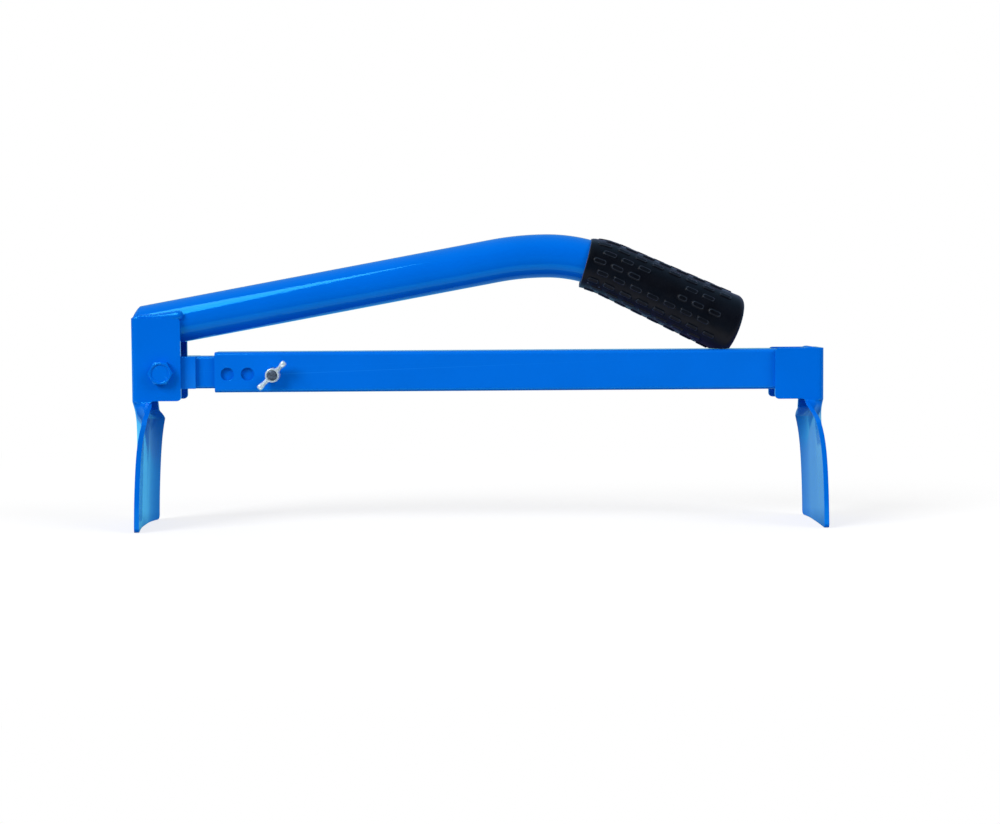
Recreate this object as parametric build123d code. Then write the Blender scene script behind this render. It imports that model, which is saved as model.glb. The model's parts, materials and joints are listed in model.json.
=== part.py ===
from build123d import *
import math
import os

os.makedirs("parts", exist_ok=True)

# Overall stance, in millimetres, with the telescope closed and the handle lying on the beam
REACH = 429.0
BEAM_AXIS_HEIGHT = 96.5

# Square tubes of the telescoping beam
OUTER_SIZE = 25.0
OUTER_WALL = 2.0
OUTER_CORNER = 2.4
INNER_WALL = 2.0
INNER_CORNER = 2.0
LEAST_BORE_CORNER = 0.4
TELESCOPE_CLEARANCE = 0.5
INNER_END_ROOM = 33.5
SLEEVE_SETBACK = 32.3

# Lock holes in the outer tube and index holes in the inner tube
LOCK_HOLE_DIAMETER = 8.0
SPARE_HOLE_COUNT = 2
SPARE_HOLE_PITCH = 12.5
FIRST_SPARE_HOLE = 7.9
BOLT_HOLE = 36.3
LOCK_ROW_DROP = 1.1
INDEX_PITCH = 45.0
INDEX_TAIL = 30.0

# Pressed sheet of the two jaws
SHEET = 3.0
FOLD_RADIUS = 4.0
CHEEK_MARGIN = 11.9
MOVING_CHEEK_DROP = 4.9
FIXED_CHEEK_DROP = 6.0
FIXED_CHEEK_RISE = 0.6
CHEEK_CORNER = 2.5
CHEEK_OVER_AXIS = 4.3
NOTCH_TAIL = 7.5
NOTCH_HEIGHT = 4.8
NOTCH_CORNER = 1.2
SHOULDER_DROP = 8.8

# Curled blades of the jaws
BLADE_WIDTH = 79.0
TIP_FLAT = 44.0
SHOULDER_FLAT = 28.0
MOVING_TIP_CURL = 4.7
MOVING_SHOULDER_CURL = 7.6
FIXED_TIP_CURL = 1.0
FIXED_SHOULDER_CURL = 5.0
BLADE_CORNER = 3.0

# Heights of the blade's sections, as shares of the shoulder's height, and how fast the curl fades below it
SECTION_SHARES = (1.0, 0.75, 0.4, 0.0)
CURL_FADE = 3

# Pivot of the moving jaw
TUBE_NOSE = 10.0
NOSE_CLEARANCE = 1.5
PLATE_THICKNESS = 3.0
PLATE_REACH = 20.7
PIVOT_SIDE_CLEARANCE = 0.6
PIVOT_BOLT_DIAMETER = 8.0
PIVOT_CLEARANCE = 0.06
PIVOT_HEX = 13.0
PIVOT_HEAD_HEIGHT = 5.3
PIVOT_RECESS_DIAMETER = 10.0
PIVOT_RECESS_DEPTH = 0.4
PIVOT_WASHER_DIAMETER = 16.0
PIVOT_WASHER_THICKNESS = 1.6
PIVOT_NUT_HEIGHT = 6.3
NUT_COLLAR_HEIGHT = 1.7
NUT_COLLAR_DIAMETER = 11.4
NUT_RING_DIAMETER = 9.6
NUT_RING_HEIGHT = 2.2
BOLT_END = 1.5
HEX_FACE_RATIO = 0.95
HEX_TURNING = 30.0

# Lock bolt and wing nut
LOCK_BOLT_DIAMETER = 6.0
LOCK_CLEARANCE = 0.06
LOCK_BOLT_SAG = 0.6
LOCK_HEX = 10.0
LOCK_HEAD_HEIGHT = 4.0
LOCK_WASHER_DIAMETER = 12.0
LOCK_WASHER_THICKNESS = 1.6
WING_HUB_DIAMETER = 12.0
WING_HUB_TOP_DIAMETER = 9.0
WING_HUB_HEIGHT = 8.0
WING_SPAN = 25.0
WING_HEIGHT = 12.0
WING_ROOT_LIFT = 1.0
WING_TIP_LIFT = 6.0
WING_THICKNESS = 3.0
WING_ANGLE = 45.0

# Handle tube
HANDLE_DIAMETER = 27.0
HANDLE_WALL = 2.0
HANDLE_SIDE_CLEARANCE = 0.1
HANDLE_SWING_CLEARANCE = 2.1
HANDLE_SLOPE = 10.4
HANDLE_RUN = 224.8
ENTRY_RADIUS = 180.0
BEND_RADIUS = 95.0
HANDLE_DROOP = 25.0

# Rubber grip
GRIP_FIT = 0.05
GRIP_OPEN_DIAMETER = 33.2
GRIP_END_DIAMETER = 38.2
GRIP_END_WALL = 4.0
GRIP_END_ROUND = 4.5
GRIP_ON_BEND = 16.7
GRIP_LIP_LENGTH = 2.5
GRIP_LIP_HEIGHT = 0.3
GRIP_PRESS = 3.3
GRIP_REST_CLEARANCE = 0.3

# Weld beads
CHEEK_BEAD_RADIUS = 2.5
CHEEK_BEAD_LIFT = 0.4
CHEEK_BEAD_OFFSET = 0.3
TOP_BEAD_WIDTH = 9.0
TOP_BEAD_HEIGHT = 1.2
UNDER_BEAD_LEG = 3.5

# Sizes that follow from the ones above
INNER_SIZE = OUTER_SIZE - 2 * OUTER_WALL - 2 * TELESCOPE_CLEARANCE
NOSE_SWING = math.hypot(TUBE_NOSE, INNER_SIZE / 2)
PIVOT_INSET = SHEET + NOSE_CLEARANCE + NOSE_SWING
CHEEK_DEPTH = PIVOT_INSET + CHEEK_MARGIN
HANDLE_GAP = HANDLE_DIAMETER + 2 * HANDLE_SIDE_CLEARANCE
PLATE_GAP = INNER_SIZE + 2 * (PLATE_THICKNESS + PIVOT_SIDE_CLEARANCE)
MOVING_GAP = max(HANDLE_GAP, PLATE_GAP)
CHEEK_FACE = MOVING_GAP / 2 + SHEET

# Places along the beam
MOVING_FACE_X = -REACH / 2
FIXED_FACE_X = REACH / 2
HANDLE_START_X = MOVING_FACE_X + FOLD_RADIUS
PIVOT_X = MOVING_FACE_X + PIVOT_INSET
SLEEVE_START_X = PIVOT_X + SLEEVE_SETBACK
SLEEVE_END_X = FIXED_FACE_X - FOLD_RADIUS
SPARE_HOLES_X = [SLEEVE_START_X + FIRST_SPARE_HOLE + SPARE_HOLE_PITCH * i for i in range(SPARE_HOLE_COUNT)]
BOLT_X = SLEEVE_START_X + BOLT_HOLE
INNER_START_X = PIVOT_X - TUBE_NOSE
INNER_END_X = SLEEVE_END_X - INNER_END_ROOM
INDEX_COUNT = int((INNER_END_X - INDEX_TAIL - BOLT_X) / INDEX_PITCH) + 1

# Heights
BEAM_TOP = BEAM_AXIS_HEIGHT + OUTER_SIZE / 2
BEAM_UNDERSIDE = BEAM_AXIS_HEIGHT - OUTER_SIZE / 2
MOVING_CHEEK_BOTTOM = BEAM_UNDERSIDE - MOVING_CHEEK_DROP
FIXED_CHEEK_BOTTOM = BEAM_UNDERSIDE - FIXED_CHEEK_DROP
FIXED_CHEEK_TOP = BEAM_TOP + FIXED_CHEEK_RISE
LOCK_ROW_HEIGHT = BEAM_AXIS_HEIGHT - LOCK_ROW_DROP
BOLT_HEIGHT = LOCK_ROW_HEIGHT - LOCK_BOLT_SAG

# Handle axis, a straight run up from the pivot, a long and a short arc, and a straight end
SLOPE = math.radians(HANDLE_SLOPE)
DROOP = math.radians(HANDLE_DROOP)
HANDLE_OFFSET = HANDLE_DIAMETER / 2 + NOSE_SWING + HANDLE_SWING_CLEARANCE
FOOT_X = PIVOT_X - HANDLE_OFFSET * math.sin(SLOPE)
FOOT_Z = BEAM_AXIS_HEIGHT + HANDLE_OFFSET * math.cos(SLOPE)


def handle_axis_z(x):
    """Height of the straight run's axis at x."""
    return FOOT_Z + (x - FOOT_X) * math.tan(SLOPE)


RUN_START_X = MOVING_FACE_X - SHEET
RUN_START = Vector(RUN_START_X, 0, handle_axis_z(RUN_START_X))
RUN_LENGTH = HANDLE_RUN + (HANDLE_START_X - RUN_START_X) / math.cos(SLOPE)
BEND_START = RUN_START + Vector(math.cos(SLOPE), 0, math.sin(SLOPE)) * RUN_LENGTH
PEAK = BEND_START + Vector(math.sin(SLOPE), 0, 1 - math.cos(SLOPE)) * ENTRY_RADIUS
BEND_CENTRE = PEAK - Vector(0, 0, BEND_RADIUS)
MOVING_CHEEK_TOP = handle_axis_z(MOVING_FACE_X + CHEEK_DEPTH / 2) + CHEEK_OVER_AXIS


def bend_point(angle):
    """Point on the short arc where the axis falls at the given angle in radians."""
    return BEND_CENTRE + Vector(math.sin(angle), 0, math.cos(angle)) * BEND_RADIUS


# The grip's lower corner is pressed flat just over the beam, which sets the straight end's length
BEND_END = bend_point(DROOP)
GRIP_CORNER_LIFT = (GRIP_END_DIAMETER / 2 - GRIP_END_ROUND) * math.cos(DROOP)
GRIP_ROUND_LIFT = GRIP_END_ROUND * (1 - math.sin(DROOP))
GRIP_REST_Z = BEAM_TOP + GRIP_REST_CLEARANCE
GRIP_END_Z = GRIP_REST_Z - GRIP_PRESS + GRIP_ROUND_LIFT + GRIP_CORNER_LIFT
END_RUN = (BEND_END.Z - GRIP_END_Z) / math.sin(DROOP)
FALL = Vector(math.cos(DROOP), 0, -math.sin(DROOP))
TUBE_END = BEND_END + FALL * (END_RUN - GRIP_END_WALL)
GRIP_START_ANGLE = DROOP - GRIP_ON_BEND / BEND_RADIUS


def square_tube(size, wall, corner, start_x, end_x):
    """Square tube along the beam axis with rounded corners."""
    bore_size = size - 2 * wall
    bore_corner = max(corner - wall, LEAST_BORE_CORNER)
    outline = RectangleRounded(size, size, corner) - RectangleRounded(bore_size, bore_size, bore_corner)
    return Pos(start_x, 0, BEAM_AXIS_HEIGHT) * extrude(Plane.YZ * outline, end_x - start_x)


def facing_front(x, y, z, shape):
    """Turn a shape that stands on its own base so that it points to the front, and place it."""
    return Pos(x, y, z) * Rot(90, 0, 0) * shape


def facing_back(x, y, z, shape):
    """Turn a shape that stands on its own base so that it points to the back, and place it."""
    return Pos(x, y, z) * Rot(-90, 0, 0) * shape


def rod(diameter, height):
    """Upright cylinder standing on its base."""
    return Cylinder(diameter / 2, height, align=(Align.CENTER, Align.CENTER, Align.MIN))


def cross_hole(x, z, diameter):
    """Cylinder right across the tool, to cut holes with."""
    return Pos(x, 0, z) * Rot(90, 0, 0) * Cylinder(diameter / 2, BLADE_WIDTH)


def ring(outer_diameter, bore_diameter, height):
    """Flat ring standing on its base."""
    return rod(outer_diameter, height) - rod(bore_diameter, height)


def turned_hexagon(across_flats, height):
    """Hexagon with two flats level once it is turned to the side, its outer corners turned off."""
    prism = extrude(RegularPolygon(across_flats / 2, 6, major_radius=False), height)
    corner = across_flats / math.sqrt(3)
    face_radius = HEX_FACE_RATIO * across_flats / 2
    fall = (corner - face_radius) * math.tan(math.radians(HEX_TURNING))
    profile = Polygon(
        (0, 0),
        (corner, 0),
        (corner, height - fall),
        (face_radius, height),
        (0, height),
        align=None,
    )
    return prism & revolve(Plane.XZ * profile, Axis.Z)


def sheet_section(half_width, fold_width, tail, inset):
    """Strip of the sheet seen from above: a flat middle, an arc each side and a straight tail.

    The outer corner of each edge lies at the half width, the given inset from the outer face.
    """
    turn = 2 * math.atan2(inset, fold_width + tail)
    radius = (fold_width - tail * math.cos(turn)) / math.sin(turn)
    flat = half_width - fold_width

    def skin(depth, side):
        """Arc start, arc middle, arc end and tail end on the face at the given depth in the sheet."""
        arc_radius = radius - depth
        points = [(depth, side * flat)]
        for angle in (turn / 2, turn):
            along = flat + arc_radius * math.sin(angle)
            points.append((radius - arc_radius * math.cos(angle), side * along))
        end_x, end_y = points[-1]
        points.append((end_x + tail * math.sin(turn), end_y + side * tail * math.cos(turn)))
        return points

    outer_back = skin(0, 1)
    inner_back = skin(SHEET, 1)
    outer_front = skin(0, -1)
    inner_front = skin(SHEET, -1)
    edges = [Line(outer_front[0], outer_back[0]), Line(inner_front[0], inner_back[0])]
    for outer, inner in ((outer_back, inner_back), (outer_front, inner_front)):
        edges.append(ThreePointArc(outer[0], outer[1], outer[2]))
        edges.append(Line(outer[2], outer[3]))
        edges.append(Line(outer[3], inner[3]))
        edges.append(Line(inner[3], inner[2]))
        edges.append(ThreePointArc(inner[0], inner[1], inner[2]))
    return make_face(edges)


def jaw(gap, cheek_top, cheek_bottom, tip_curl, shoulder_curl):
    """Pressed jaw with the outer face of its spine at x = 0 and its cheeks pointing along +X."""
    half = gap / 2 + SHEET
    notch_floor = cheek_bottom - NOTCH_HEIGHT
    shoulder_height = notch_floor - SHOULDER_DROP
    channel_section = sheet_section(half, FOLD_RADIUS, CHEEK_DEPTH - FOLD_RADIUS, CHEEK_DEPTH)
    channel = Pos(0, 0, notch_floor) * extrude(channel_section, cheek_top - notch_floor)
    notch_root = FOLD_RADIUS + NOTCH_TAIL
    notch = Polygon(
        (notch_root, notch_floor),
        (CHEEK_DEPTH, notch_floor),
        (CHEEK_DEPTH, cheek_bottom),
        (notch_root, cheek_bottom),
        align=None,
    )
    root_corner = notch.vertices().sort_by(Axis.Y)[-2:].sort_by(Axis.X)[0]
    notch = fillet(root_corner, NOTCH_CORNER)
    channel -= extrude(Plane.XZ * notch, gap, both=True)
    cheek_edges = channel.edges().filter_by(Axis.Y).group_by(Axis.X)[-1]
    channel = fillet(cheek_edges, CHEEK_CORNER)

    fold = sheet_section(half, FOLD_RADIUS, NOTCH_TAIL, notch_root)
    levels = []
    for share in SECTION_SHARES:
        curl = tip_curl + (shoulder_curl - tip_curl) * share ** CURL_FADE
        flat = TIP_FLAT + (SHOULDER_FLAT - TIP_FLAT) * share
        section = sheet_section(BLADE_WIDTH / 2, (BLADE_WIDTH - flat) / 2, NOTCH_TAIL, curl)
        levels.append(Pos(0, 0, shoulder_height * share) * section)
    opening_fold = loft([Pos(0, 0, notch_floor) * fold, levels[0]], ruled=True)
    blade = loft(levels)
    corner_square = Rectangle(2 * BLADE_CORNER, 2 * BLADE_CORNER)
    for side in (-1, 1):
        corner_round = Pos(-side * BLADE_CORNER, BLADE_CORNER) * Circle(BLADE_CORNER)
        corner = Plane.YZ * Pos(side * BLADE_WIDTH / 2, 0) * (corner_square - corner_round)
        blade -= extrude(corner, CHEEK_DEPTH, both=True)
    return channel + opening_fold + blade


def handle_plane(point, angle):
    """Plane square to the handle axis at a point where it falls at the given angle in radians."""
    return Plane(origin=point, x_dir=(0, 1, 0), z_dir=(math.cos(angle), 0, -math.sin(angle)))


def bend_arc(start_angle, end_angle):
    """Stretch of the short arc between two angles of fall."""
    middle = (start_angle + end_angle) / 2
    return ThreePointArc(bend_point(start_angle), bend_point(middle), bend_point(end_angle))


def outer_tube():
    """Outer tube with its row of lock holes through both sides."""
    tube = square_tube(OUTER_SIZE, OUTER_WALL, OUTER_CORNER, SLEEVE_START_X, SLEEVE_END_X)
    for x in SPARE_HOLES_X + [BOLT_X]:
        tube -= cross_hole(x, LOCK_ROW_HEIGHT, LOCK_HOLE_DIAMETER)
    return tube


def inner_tube():
    """Inner tube with the pivot hole and the index holes for the lock bolt."""
    tube = square_tube(INNER_SIZE, INNER_WALL, INNER_CORNER, INNER_START_X, INNER_END_X)
    tube -= cross_hole(PIVOT_X, BEAM_AXIS_HEIGHT, PIVOT_BOLT_DIAMETER + 2 * PIVOT_CLEARANCE)
    for i in range(INDEX_COUNT):
        tube -= cross_hole(BOLT_X + INDEX_PITCH * i, LOCK_ROW_HEIGHT, LOCK_HOLE_DIAMETER)
    return tube


def pivot_plate(side):
    """Flat plate on one side of the inner tube, rounded about the pivot."""
    bar = Rectangle(PLATE_REACH, INNER_SIZE, align=(Align.MIN, Align.CENTER))
    outline = bar + Circle(INNER_SIZE / 2) - Circle(PIVOT_BOLT_DIAMETER / 2 + PIVOT_CLEARANCE)
    plate = extrude(outline, PLATE_THICKNESS)
    near_y = INNER_SIZE / 2
    if side < 0:
        return facing_front(PIVOT_X, -near_y, BEAM_AXIS_HEIGHT, plate)
    return Pos(0, near_y + PLATE_THICKNESS, 0) * facing_front(PIVOT_X, 0, BEAM_AXIS_HEIGHT, plate)


def moving_jaw():
    """Jaw that hangs on the pivot and carries the handle."""
    pressed = jaw(
        MOVING_GAP, MOVING_CHEEK_TOP, MOVING_CHEEK_BOTTOM, MOVING_TIP_CURL, MOVING_SHOULDER_CURL
    )
    hole = cross_hole(PIVOT_X, BEAM_AXIS_HEIGHT, PIVOT_BOLT_DIAMETER + 2 * PIVOT_CLEARANCE)
    return Pos(MOVING_FACE_X, 0, 0) * pressed - hole


def fixed_jaw():
    """Jaw welded to the far end of the outer tube, its cheeks just over the beam's top."""
    pressed = jaw(OUTER_SIZE, FIXED_CHEEK_TOP, FIXED_CHEEK_BOTTOM, FIXED_TIP_CURL, FIXED_SHOULDER_CURL)
    return Pos(FIXED_FACE_X, 0, 0) * mirror(pressed, Plane.YZ)


def fixed_jaw_weld_top():
    """Low bead across the beam's top, just inside the fixed jaw's spine."""
    radius = (TOP_BEAD_WIDTH ** 2 / 4 + TOP_BEAD_HEIGHT ** 2) / (2 * TOP_BEAD_HEIGHT)
    lens = Pos(0, TOP_BEAD_HEIGHT - radius) * Circle(radius) & Rectangle(
        TOP_BEAD_WIDTH, TOP_BEAD_HEIGHT, align=(Align.CENTER, Align.MIN)
    )
    half_length = OUTER_SIZE / 2 - OUTER_CORNER
    bead = extrude(Plane.XZ * lens, half_length, both=True)
    return Pos(FIXED_FACE_X - SHEET - TOP_BEAD_WIDTH / 2, 0, BEAM_TOP) * bead


def fixed_jaw_weld_under():
    """Quarter round bead in the corner under the beam at the fixed jaw's spine."""
    half_length = OUTER_SIZE / 2 - OUTER_CORNER
    corner = Rectangle(UNDER_BEAD_LEG, UNDER_BEAD_LEG, align=(Align.MAX, Align.MAX))
    bead = extrude(Plane.XZ * (Circle(UNDER_BEAD_LEG) & corner), half_length, both=True)
    return Pos(FIXED_FACE_X - SHEET, 0, BEAM_UNDERSIDE) * bead


def handle_tube():
    """Round tube from the moving jaw's spine, up, round the bend and down into the grip."""
    entry_middle = BEND_START + Vector(
        ENTRY_RADIUS * (math.sin(SLOPE) - math.sin(SLOPE / 2)),
        0,
        ENTRY_RADIUS * (math.cos(SLOPE / 2) - math.cos(SLOPE)),
    )
    path = Line(RUN_START, BEND_START)
    path += ThreePointArc(BEND_START, entry_middle, PEAK)
    path += bend_arc(0, DROOP)
    path += Line(BEND_END, TUBE_END)
    section = Circle(HANDLE_DIAMETER / 2) - Circle(HANDLE_DIAMETER / 2 - HANDLE_WALL)
    tube = sweep(handle_plane(RUN_START, -SLOPE) * section, path=path)
    beyond_spine = Box(REACH, BLADE_WIDTH, REACH, align=(Align.MAX, Align.CENTER, Align.CENTER))
    return tube - Pos(HANDLE_START_X, 0, BEAM_AXIS_HEIGHT) * beyond_spine


def handle_core():
    """Solid rod of the handle's straight run, to trim the weld beads with."""
    core = rod(HANDLE_DIAMETER, RUN_LENGTH)
    return handle_plane(RUN_START, -SLOPE) * core


def handle_weld(side, pressed, core):
    """Bead on top of one cheek, against the side of the handle tube."""
    start_x = HANDLE_START_X + CHEEK_BEAD_RADIUS
    length = CHEEK_DEPTH - FOLD_RADIUS - 2 * CHEEK_BEAD_RADIUS
    bead = Rot(0, 90, 0) * rod(2 * CHEEK_BEAD_RADIUS, length)
    bead += Sphere(CHEEK_BEAD_RADIUS)
    bead += Pos(length, 0, 0) * Sphere(CHEEK_BEAD_RADIUS)
    offset = side * (MOVING_GAP / 2 + CHEEK_BEAD_OFFSET)
    placed = Pos(start_x, offset, MOVING_CHEEK_TOP + CHEEK_BEAD_LIFT) * bead
    return placed - pressed - core


def handle_weld_end(core):
    """Sloped bead over the spine's top that closes the handle tube's end."""
    tube_top = handle_axis_z(HANDLE_START_X) + HANDLE_DIAMETER / 2 / math.cos(SLOPE)
    slope = Polygon(
        (MOVING_FACE_X, MOVING_CHEEK_TOP),
        (HANDLE_START_X, MOVING_CHEEK_TOP),
        (HANDLE_START_X, tube_top),
        align=None,
    )
    return extrude(Plane.XZ * slope, HANDLE_DIAMETER, both=True) & core


def handle_grip():
    """Rubber grip over the handle's end: a bent mouth with a lip, and a closed end flat where it rests."""
    bore = HANDLE_DIAMETER / 2 + GRIP_FIT
    open_radius = GRIP_OPEN_DIAMETER / 2
    start = handle_plane(bend_point(GRIP_START_ANGLE), GRIP_START_ANGLE)
    mouth = sweep(start * (Circle(open_radius) - Circle(bore)), path=bend_arc(GRIP_START_ANGLE, DROOP))
    lip_end = GRIP_START_ANGLE + GRIP_LIP_LENGTH / BEND_RADIUS
    lip_section = Circle(open_radius + GRIP_LIP_HEIGHT) - Circle(bore)
    lip = sweep(start * lip_section, path=bend_arc(GRIP_START_ANGLE, lip_end))
    profile = Polygon(
        (bore, 0),
        (open_radius, 0),
        (GRIP_END_DIAMETER / 2, END_RUN),
        (0, END_RUN),
        (0, END_RUN - GRIP_END_WALL),
        (bore, END_RUN - GRIP_END_WALL),
        align=None,
    )
    profile = fillet(profile.vertices().sort_by(Axis.X)[-1], GRIP_END_ROUND)
    body = handle_plane(BEND_END, DROOP) * revolve(Plane.XZ * profile, Axis.Z)
    below_rest = Box(REACH, BLADE_WIDTH, REACH, align=(Align.CENTER, Align.CENTER, Align.MAX))
    return mouth + lip + body - Pos(0, 0, GRIP_REST_Z) * below_rest


def pivot_bolt():
    """Hexagon bolt from the front, with a shallow dish in its head."""
    head = turned_hexagon(PIVOT_HEX, PIVOT_HEAD_HEIGHT)
    head -= Pos(0, 0, PIVOT_HEAD_HEIGHT - PIVOT_RECESS_DEPTH) * rod(PIVOT_RECESS_DIAMETER, PIVOT_RECESS_DEPTH)
    grip_length = 2 * CHEEK_FACE + PIVOT_WASHER_THICKNESS + PIVOT_NUT_HEIGHT + NUT_COLLAR_HEIGHT
    shank = rod(PIVOT_BOLT_DIAMETER, grip_length + BOLT_END)
    bolt = facing_front(0, 0, 0, head) + facing_back(0, 0, 0, shank)
    return Pos(PIVOT_X, -CHEEK_FACE, BEAM_AXIS_HEIGHT) * bolt


def pivot_washer():
    """Washer behind the back cheek."""
    bore = PIVOT_BOLT_DIAMETER + 2 * PIVOT_CLEARANCE
    washer = ring(PIVOT_WASHER_DIAMETER, bore, PIVOT_WASHER_THICKNESS)
    return facing_back(PIVOT_X, CHEEK_FACE, BEAM_AXIS_HEIGHT, washer)


NUT_Y = CHEEK_FACE + PIVOT_WASHER_THICKNESS
NUT_TOTAL_HEIGHT = PIVOT_NUT_HEIGHT + NUT_COLLAR_HEIGHT


def pivot_nut():
    """Lock nut: a hexagon with a thin collar that holds the nylon ring."""
    nut = turned_hexagon(PIVOT_HEX, PIVOT_NUT_HEIGHT) + rod(NUT_COLLAR_DIAMETER, NUT_TOTAL_HEIGHT)
    nut -= rod(PIVOT_BOLT_DIAMETER + 2 * PIVOT_CLEARANCE, NUT_TOTAL_HEIGHT)
    nut -= Pos(0, 0, NUT_TOTAL_HEIGHT - NUT_RING_HEIGHT) * rod(NUT_RING_DIAMETER, NUT_RING_HEIGHT)
    return facing_back(PIVOT_X, NUT_Y, BEAM_AXIS_HEIGHT, nut)


def pivot_nut_ring():
    """Nylon ring in the lock nut's collar."""
    bore = PIVOT_BOLT_DIAMETER + 2 * PIVOT_CLEARANCE
    nylon = ring(NUT_RING_DIAMETER, bore, NUT_RING_HEIGHT)
    return facing_back(PIVOT_X, NUT_Y + NUT_TOTAL_HEIGHT - NUT_RING_HEIGHT, BEAM_AXIS_HEIGHT, nylon)


def lock_bolt():
    """Hexagon bolt from the back through both tubes into the wing nut."""
    head = turned_hexagon(LOCK_HEX, LOCK_HEAD_HEIGHT)
    shank = rod(LOCK_BOLT_DIAMETER, LOCK_WASHER_THICKNESS + OUTER_SIZE + WING_HUB_HEIGHT + BOLT_END)
    bolt = facing_back(0, 0, 0, head) + facing_front(0, 0, 0, shank)
    return Pos(BOLT_X, OUTER_SIZE / 2 + LOCK_WASHER_THICKNESS, BOLT_HEIGHT) * bolt


def lock_washer():
    """Washer under the lock bolt's head."""
    bore = LOCK_BOLT_DIAMETER + 2 * LOCK_CLEARANCE
    washer = ring(LOCK_WASHER_DIAMETER, bore, LOCK_WASHER_THICKNESS)
    return facing_back(BOLT_X, OUTER_SIZE / 2, BOLT_HEIGHT, washer)


def wing_nut():
    """Wing nut: a tapered hub and two wings that lean out and forward."""
    hub_radius = WING_HUB_DIAMETER / 2
    hub_top_radius = WING_HUB_TOP_DIAMETER / 2
    nut = Cone(hub_radius, hub_top_radius, WING_HUB_HEIGHT, align=(Align.CENTER, Align.CENTER, Align.MIN))
    tip = WING_SPAN / 2
    wing = Polygon(
        (0, WING_ROOT_LIFT),
        (hub_radius, WING_ROOT_LIFT),
        (tip, WING_TIP_LIFT),
        (tip, WING_HEIGHT),
        (hub_radius + WING_THICKNESS / 2, WING_HEIGHT),
        (hub_top_radius, WING_HUB_HEIGHT),
        (0, WING_HUB_HEIGHT),
        align=None,
    )
    tip_corners = wing.vertices().sort_by(Axis.Y)[-2:]
    wing = fillet(tip_corners, WING_THICKNESS / 2)
    for side in (0, 180):
        nut += Rot(0, 0, side) * extrude(Plane.XZ * wing, WING_THICKNESS / 2, both=True)
    nut -= rod(LOCK_BOLT_DIAMETER + 2 * LOCK_CLEARANCE, WING_HEIGHT)
    return facing_front(BOLT_X, -OUTER_SIZE / 2, BOLT_HEIGHT, Rot(0, 0, WING_ANGLE) * nut)


pressed_jaw = moving_jaw()
core = handle_core()
pieces = {
    "outer_tube": outer_tube(),
    "fixed_jaw": fixed_jaw(),
    "fixed_jaw_weld_top": fixed_jaw_weld_top(),
    "fixed_jaw_weld_under": fixed_jaw_weld_under(),
    "inner_tube": inner_tube(),
    "pivot_plate_front": pivot_plate(-1),
    "pivot_plate_back": pivot_plate(1),
    "moving_jaw": pressed_jaw,
    "handle_tube": handle_tube(),
    "handle_grip": handle_grip(),
    "handle_weld_front": handle_weld(-1, pressed_jaw, core),
    "handle_weld_back": handle_weld(1, pressed_jaw, core),
    "handle_weld_end": handle_weld_end(core),
    "pivot_bolt": pivot_bolt(),
    "pivot_washer": pivot_washer(),
    "pivot_nut": pivot_nut(),
    "pivot_nut_ring": pivot_nut_ring(),
    "lock_bolt": lock_bolt(),
    "lock_washer": lock_washer(),
    "wing_nut": wing_nut(),
}
for name, piece in pieces.items():
    export_step(piece, f"parts/{name}.step")

print("pivot", round(PIVOT_X, 3), "lock bolt", round(BOLT_X, 3), round(BOLT_HEIGHT, 3))
print("index holes", INDEX_COUNT)
print("straight end of the handle", round(END_RUN, 2), "grip end height", round(GRIP_END_Z, 2))
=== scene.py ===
"""Block laying tongs: painted steel, rubber and zinc, built round the packed parts."""

import json
import math

import bmesh
import bpy
from mathutils import Matrix, Vector, noise

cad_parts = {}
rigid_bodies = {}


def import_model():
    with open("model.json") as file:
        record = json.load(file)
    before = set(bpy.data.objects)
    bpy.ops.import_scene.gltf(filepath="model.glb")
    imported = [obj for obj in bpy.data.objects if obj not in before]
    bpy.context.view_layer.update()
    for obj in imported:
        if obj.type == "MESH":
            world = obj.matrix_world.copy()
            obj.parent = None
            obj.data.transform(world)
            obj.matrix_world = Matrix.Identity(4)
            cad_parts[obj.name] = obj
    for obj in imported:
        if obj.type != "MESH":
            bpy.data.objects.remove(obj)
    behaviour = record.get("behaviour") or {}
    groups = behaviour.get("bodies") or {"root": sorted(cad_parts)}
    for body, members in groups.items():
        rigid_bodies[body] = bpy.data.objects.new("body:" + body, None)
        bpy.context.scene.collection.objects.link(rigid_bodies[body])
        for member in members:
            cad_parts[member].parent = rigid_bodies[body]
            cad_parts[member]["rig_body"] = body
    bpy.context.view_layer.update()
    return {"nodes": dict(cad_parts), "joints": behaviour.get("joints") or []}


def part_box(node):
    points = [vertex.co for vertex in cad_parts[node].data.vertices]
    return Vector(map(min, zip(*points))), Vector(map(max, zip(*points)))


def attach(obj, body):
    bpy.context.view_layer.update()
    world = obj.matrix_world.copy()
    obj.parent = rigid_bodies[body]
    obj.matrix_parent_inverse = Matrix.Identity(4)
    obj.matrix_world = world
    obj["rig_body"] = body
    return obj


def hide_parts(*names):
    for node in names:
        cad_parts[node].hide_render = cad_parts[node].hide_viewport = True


bl_info = {
    "name": "Block Laying Tongs",
    "version": (1, 0, 0),
    "blender": (4, 5, 0),
    "location": "View3D > Sidebar > Tongs",
    "description": "Builds the tongs' painted jaws, tubes, grip, welds and fasteners round their frame",
    "category": "Object",
}

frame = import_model()
PLACES = {row["name"]: Vector(row["pos_m"]) for row in frame["joints"] if "pos_m" in row}
PIVOT = PLACES["lever_pivot"]
LOCK_BOLT = PLACES["wing_nut_spin"]

MM = 0.001
FRONT = Vector((0, -1, 0))
BACK = Vector((0, 1, 0))
UP = Vector((0, 0, 1))

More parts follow.
